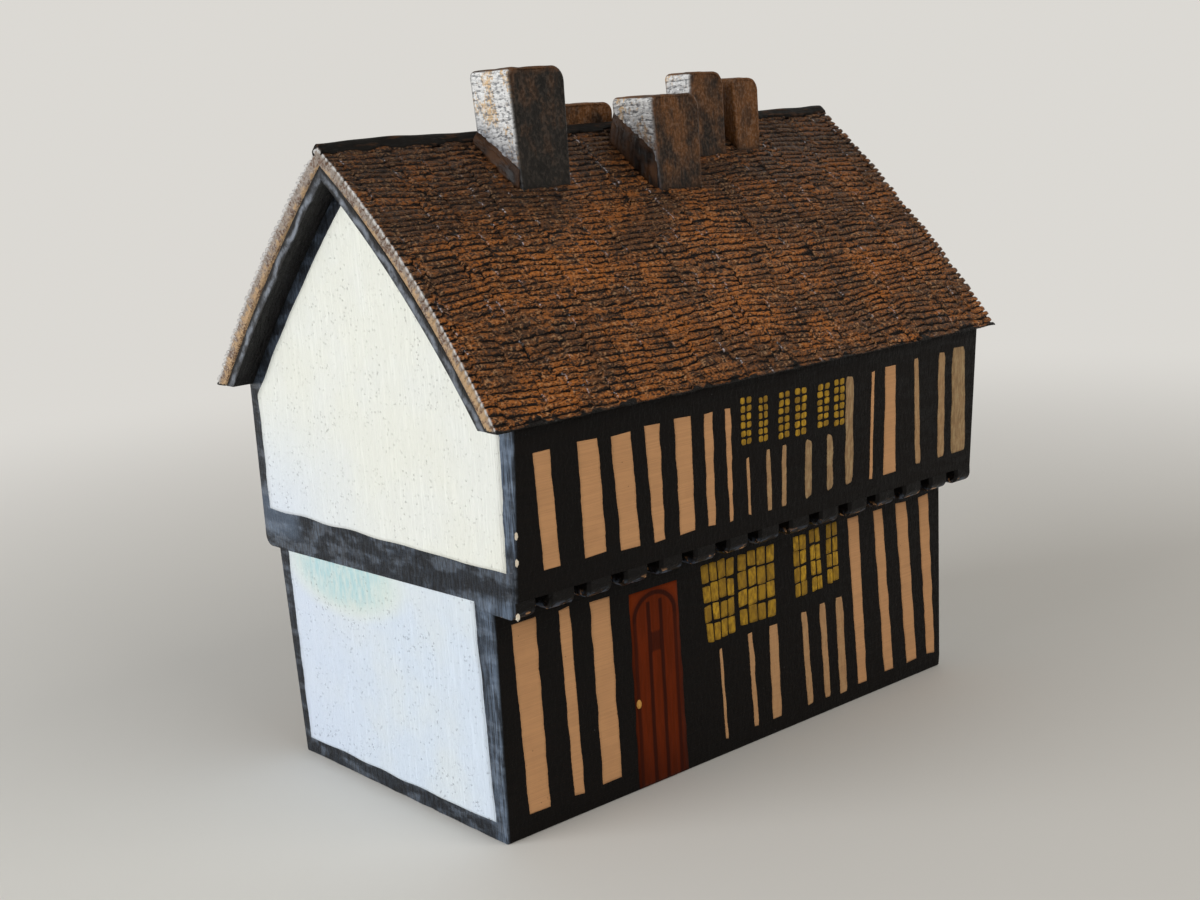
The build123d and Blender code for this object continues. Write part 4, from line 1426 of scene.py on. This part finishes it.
class COTTAGE_OT_roof(CottageOperator, Operator):
    """Make the carved tile layers and the black ridge"""

    bl_idname = "cottage.roof"
    bl_label = "Roof"

    def execute(self, context):
        varnish = tile_varnish(self.paint)
        for side, name, seed in ((FRONT, "front", 11), (BACK, "back", 23)):
            shape = Shape()
            carved_tiles(shape, SLOPES[side], self.carving, seed)
            shape.piece(f"{name}_carved_tiles", varnish, [f"roof_tiles_{name}"])
        shape = Shape()
        ridge_cover(shape, self.carving)
        shape.piece("black_ridge", ridge_paint(self.paint), ["ridge_strip"])
        return {"FINISHED"}


class COTTAGE_OT_chimneys(CottageOperator, Operator):
    """Make the chimneys with their carved bricks"""

    bl_idname = "cottage.chimneys"
    bl_label = "Chimneys"

    def execute(self, context):
        varnish = stack_varnish(self.paint)
        for number, (name, (side, *shares)) in enumerate(CHIMNEYS.items()):
            shape = Shape()
            chimney_stack(shape, f"chimney_{name}", SLOPES[side], *shares, self.carving, 100 + 7 * number)
            shape.piece(f"{name}_carved_chimney", varnish, [f"chimney_{name}"])
        shape = Shape()
        for number, (name, sizes) in enumerate(WEDGES.items()):
            flashing(shape, f"chimney_{name}", SLOPES[FRONT], sizes, self.carving, 90 + number)
        shape.piece("chimney_flashing", flashing_varnish(self.paint))
        return {"FINISHED"}


class COTTAGE_OT_stage(CottageOperator, Operator):
    """Make the floor, the lights and the camera"""

    bl_idname = "cottage.stage"
    bl_label = "Stage"

    def lamp(self, name, place, aim, wide, tall, power, colour):
        """An area light at a place, turned towards its aim."""
        data = bpy.data.lights.new(name, "AREA")
        data.shape, data.size, data.size_y = "RECTANGLE", wide, tall
        data.energy, data.color = power, colour
        lamp = bpy.data.objects.new(name, data)
        lamp.location = place
        lamp.rotation_euler = (Vector(aim) - Vector(place)).to_track_quat("-Z", "Y").to_euler()
        bpy.context.scene.collection.objects.link(lamp)

    def execute(self, context):
        scene, stage = bpy.context.scene, bpy.context.scene.cottage_stage
        scene.view_settings.view_transform = "Standard"
        turn, tilt, roll = stage.azimuth, stage.elevation, stage.roll
        # The floor runs back from the camera, then up in a quarter circle
        flat, bend, wall, reach = 1.3, 1.0, 1.6, 4.0
        arc = np.linspace(0, np.pi / 2, 24)
        ahead = np.concatenate([[-reach], flat + bend * np.sin(arc), [flat + bend]])
        high = np.concatenate([[0], bend * (1 - np.cos(arc)), [bend + wall]])
        aside = np.array([-reach, reach])[:, None]
        points = np.stack(np.broadcast_arrays(
            -math.sin(turn) * ahead + math.cos(turn) * aside,
            math.cos(turn) * ahead + math.sin(turn) * aside, high,
        ), -1)
        near = np.arange(len(ahead) - 1)
        far = near + len(ahead)
        floor_mesh = bpy.data.meshes.new("floor")
        faces = np.stack([near + 1, near, far, far + 1], -1).tolist()
        floor_mesh.from_pydata(points.reshape(-1, 3), [], faces)
        floor_mesh.polygons.foreach_set("use_smooth", np.full(len(near), True))
        floor = bpy.data.objects.new("floor", floor_mesh)
        floor_mesh.materials.append(floor_paper(stage.floor_tint))
        scene.collection.objects.link(floor)
        world = bpy.data.worlds.new("studio")
        world.use_nodes = True
        back = world.node_tree.nodes["Background"]
        back.inputs["Color"].default_value = (1.0, 0.985, 0.96, 1.0)
        back.inputs["Strength"].default_value = stage.sky
        scene.world = world
        middle = (0.0, 0.0, 0.06)
        self.lamp("window", (-0.86, 0.20, 0.40), middle, 0.7, 0.6, stage.key_power, (0.95, 0.98, 1.0))
        self.lamp("fill", (0.25, -0.9, 0.75), middle, 0.9, 0.7, stage.fill_power, (1.0, 0.96, 0.9))
        data = bpy.data.cameras.new("camera")
        data.sensor_width, data.lens = 36.0, stage.lens
        data.clip_start, data.clip_end = 0.01, 50.0
        camera = bpy.data.objects.new("camera", data)
        ahead = Vector((-math.sin(turn) * math.cos(tilt), math.cos(turn) * math.cos(tilt), -math.sin(tilt)))
        level = ahead.cross(Vector((0, 0, 1))).normalized()
        over = level.cross(ahead)
        right = math.cos(roll) * level + math.sin(roll) * over
        up = math.cos(roll) * over - math.sin(roll) * level
        facing = Matrix((right, up, -ahead)).transposed().to_4x4()
        camera.matrix_world = Matrix.Translation(stage.camera_place) @ facing
        scene.collection.objects.link(camera)
        scene.camera = camera
        return {"FINISHED"}


class COTTAGE_PT_panel(Panel):
    """Lists the cottage's operators and settings."""

    bl_label = "Model Cottage"
    bl_idname = "COTTAGE_PT_panel"
    bl_space_type = "VIEW_3D"
    bl_region_type = "UI"
    bl_category = "Cottage"

    def draw(self, context):
        for operator in OPERATORS:
            self.layout.operator(operator.bl_idname)
        scene = context.scene
        for group in (scene.cottage_paint, scene.cottage_carving, scene.cottage_stage):
            box = self.layout.box()
            for name in group.bl_rna.properties.keys()[2:]:
                box.prop(group, name)


OPERATORS = (
    COTTAGE_OT_walls, COTTAGE_OT_gable_panels, COTTAGE_OT_stripes, COTTAGE_OT_windows,
    COTTAGE_OT_door, COTTAGE_OT_roof, COTTAGE_OT_chimneys, COTTAGE_OT_stage,
)
CLASSES = (CottagePaint, CottageCarving, CottageStage, *OPERATORS, COTTAGE_PT_panel)


def register():
    for cls in CLASSES:
        bpy.utils.register_class(cls)
    bpy.types.Scene.cottage_paint = PointerProperty(type=CottagePaint)
    bpy.types.Scene.cottage_carving = PointerProperty(type=CottageCarving)
    bpy.types.Scene.cottage_stage = PointerProperty(type=CottageStage)


def unregister():
    del bpy.types.Scene.cottage_stage
    del bpy.types.Scene.cottage_carving
    del bpy.types.Scene.cottage_paint
    for cls in reversed(CLASSES):
        bpy.utils.unregister_class(cls)


def main():
    register()
    bpy.ops.cottage.walls()
    bpy.ops.cottage.gable_panels()
    bpy.ops.cottage.stripes()
    bpy.ops.cottage.windows()
    bpy.ops.cottage.door()
    bpy.ops.cottage.roof()
    bpy.ops.cottage.chimneys()
    bpy.ops.cottage.stage()


if __name__ == "__main__":
    main()
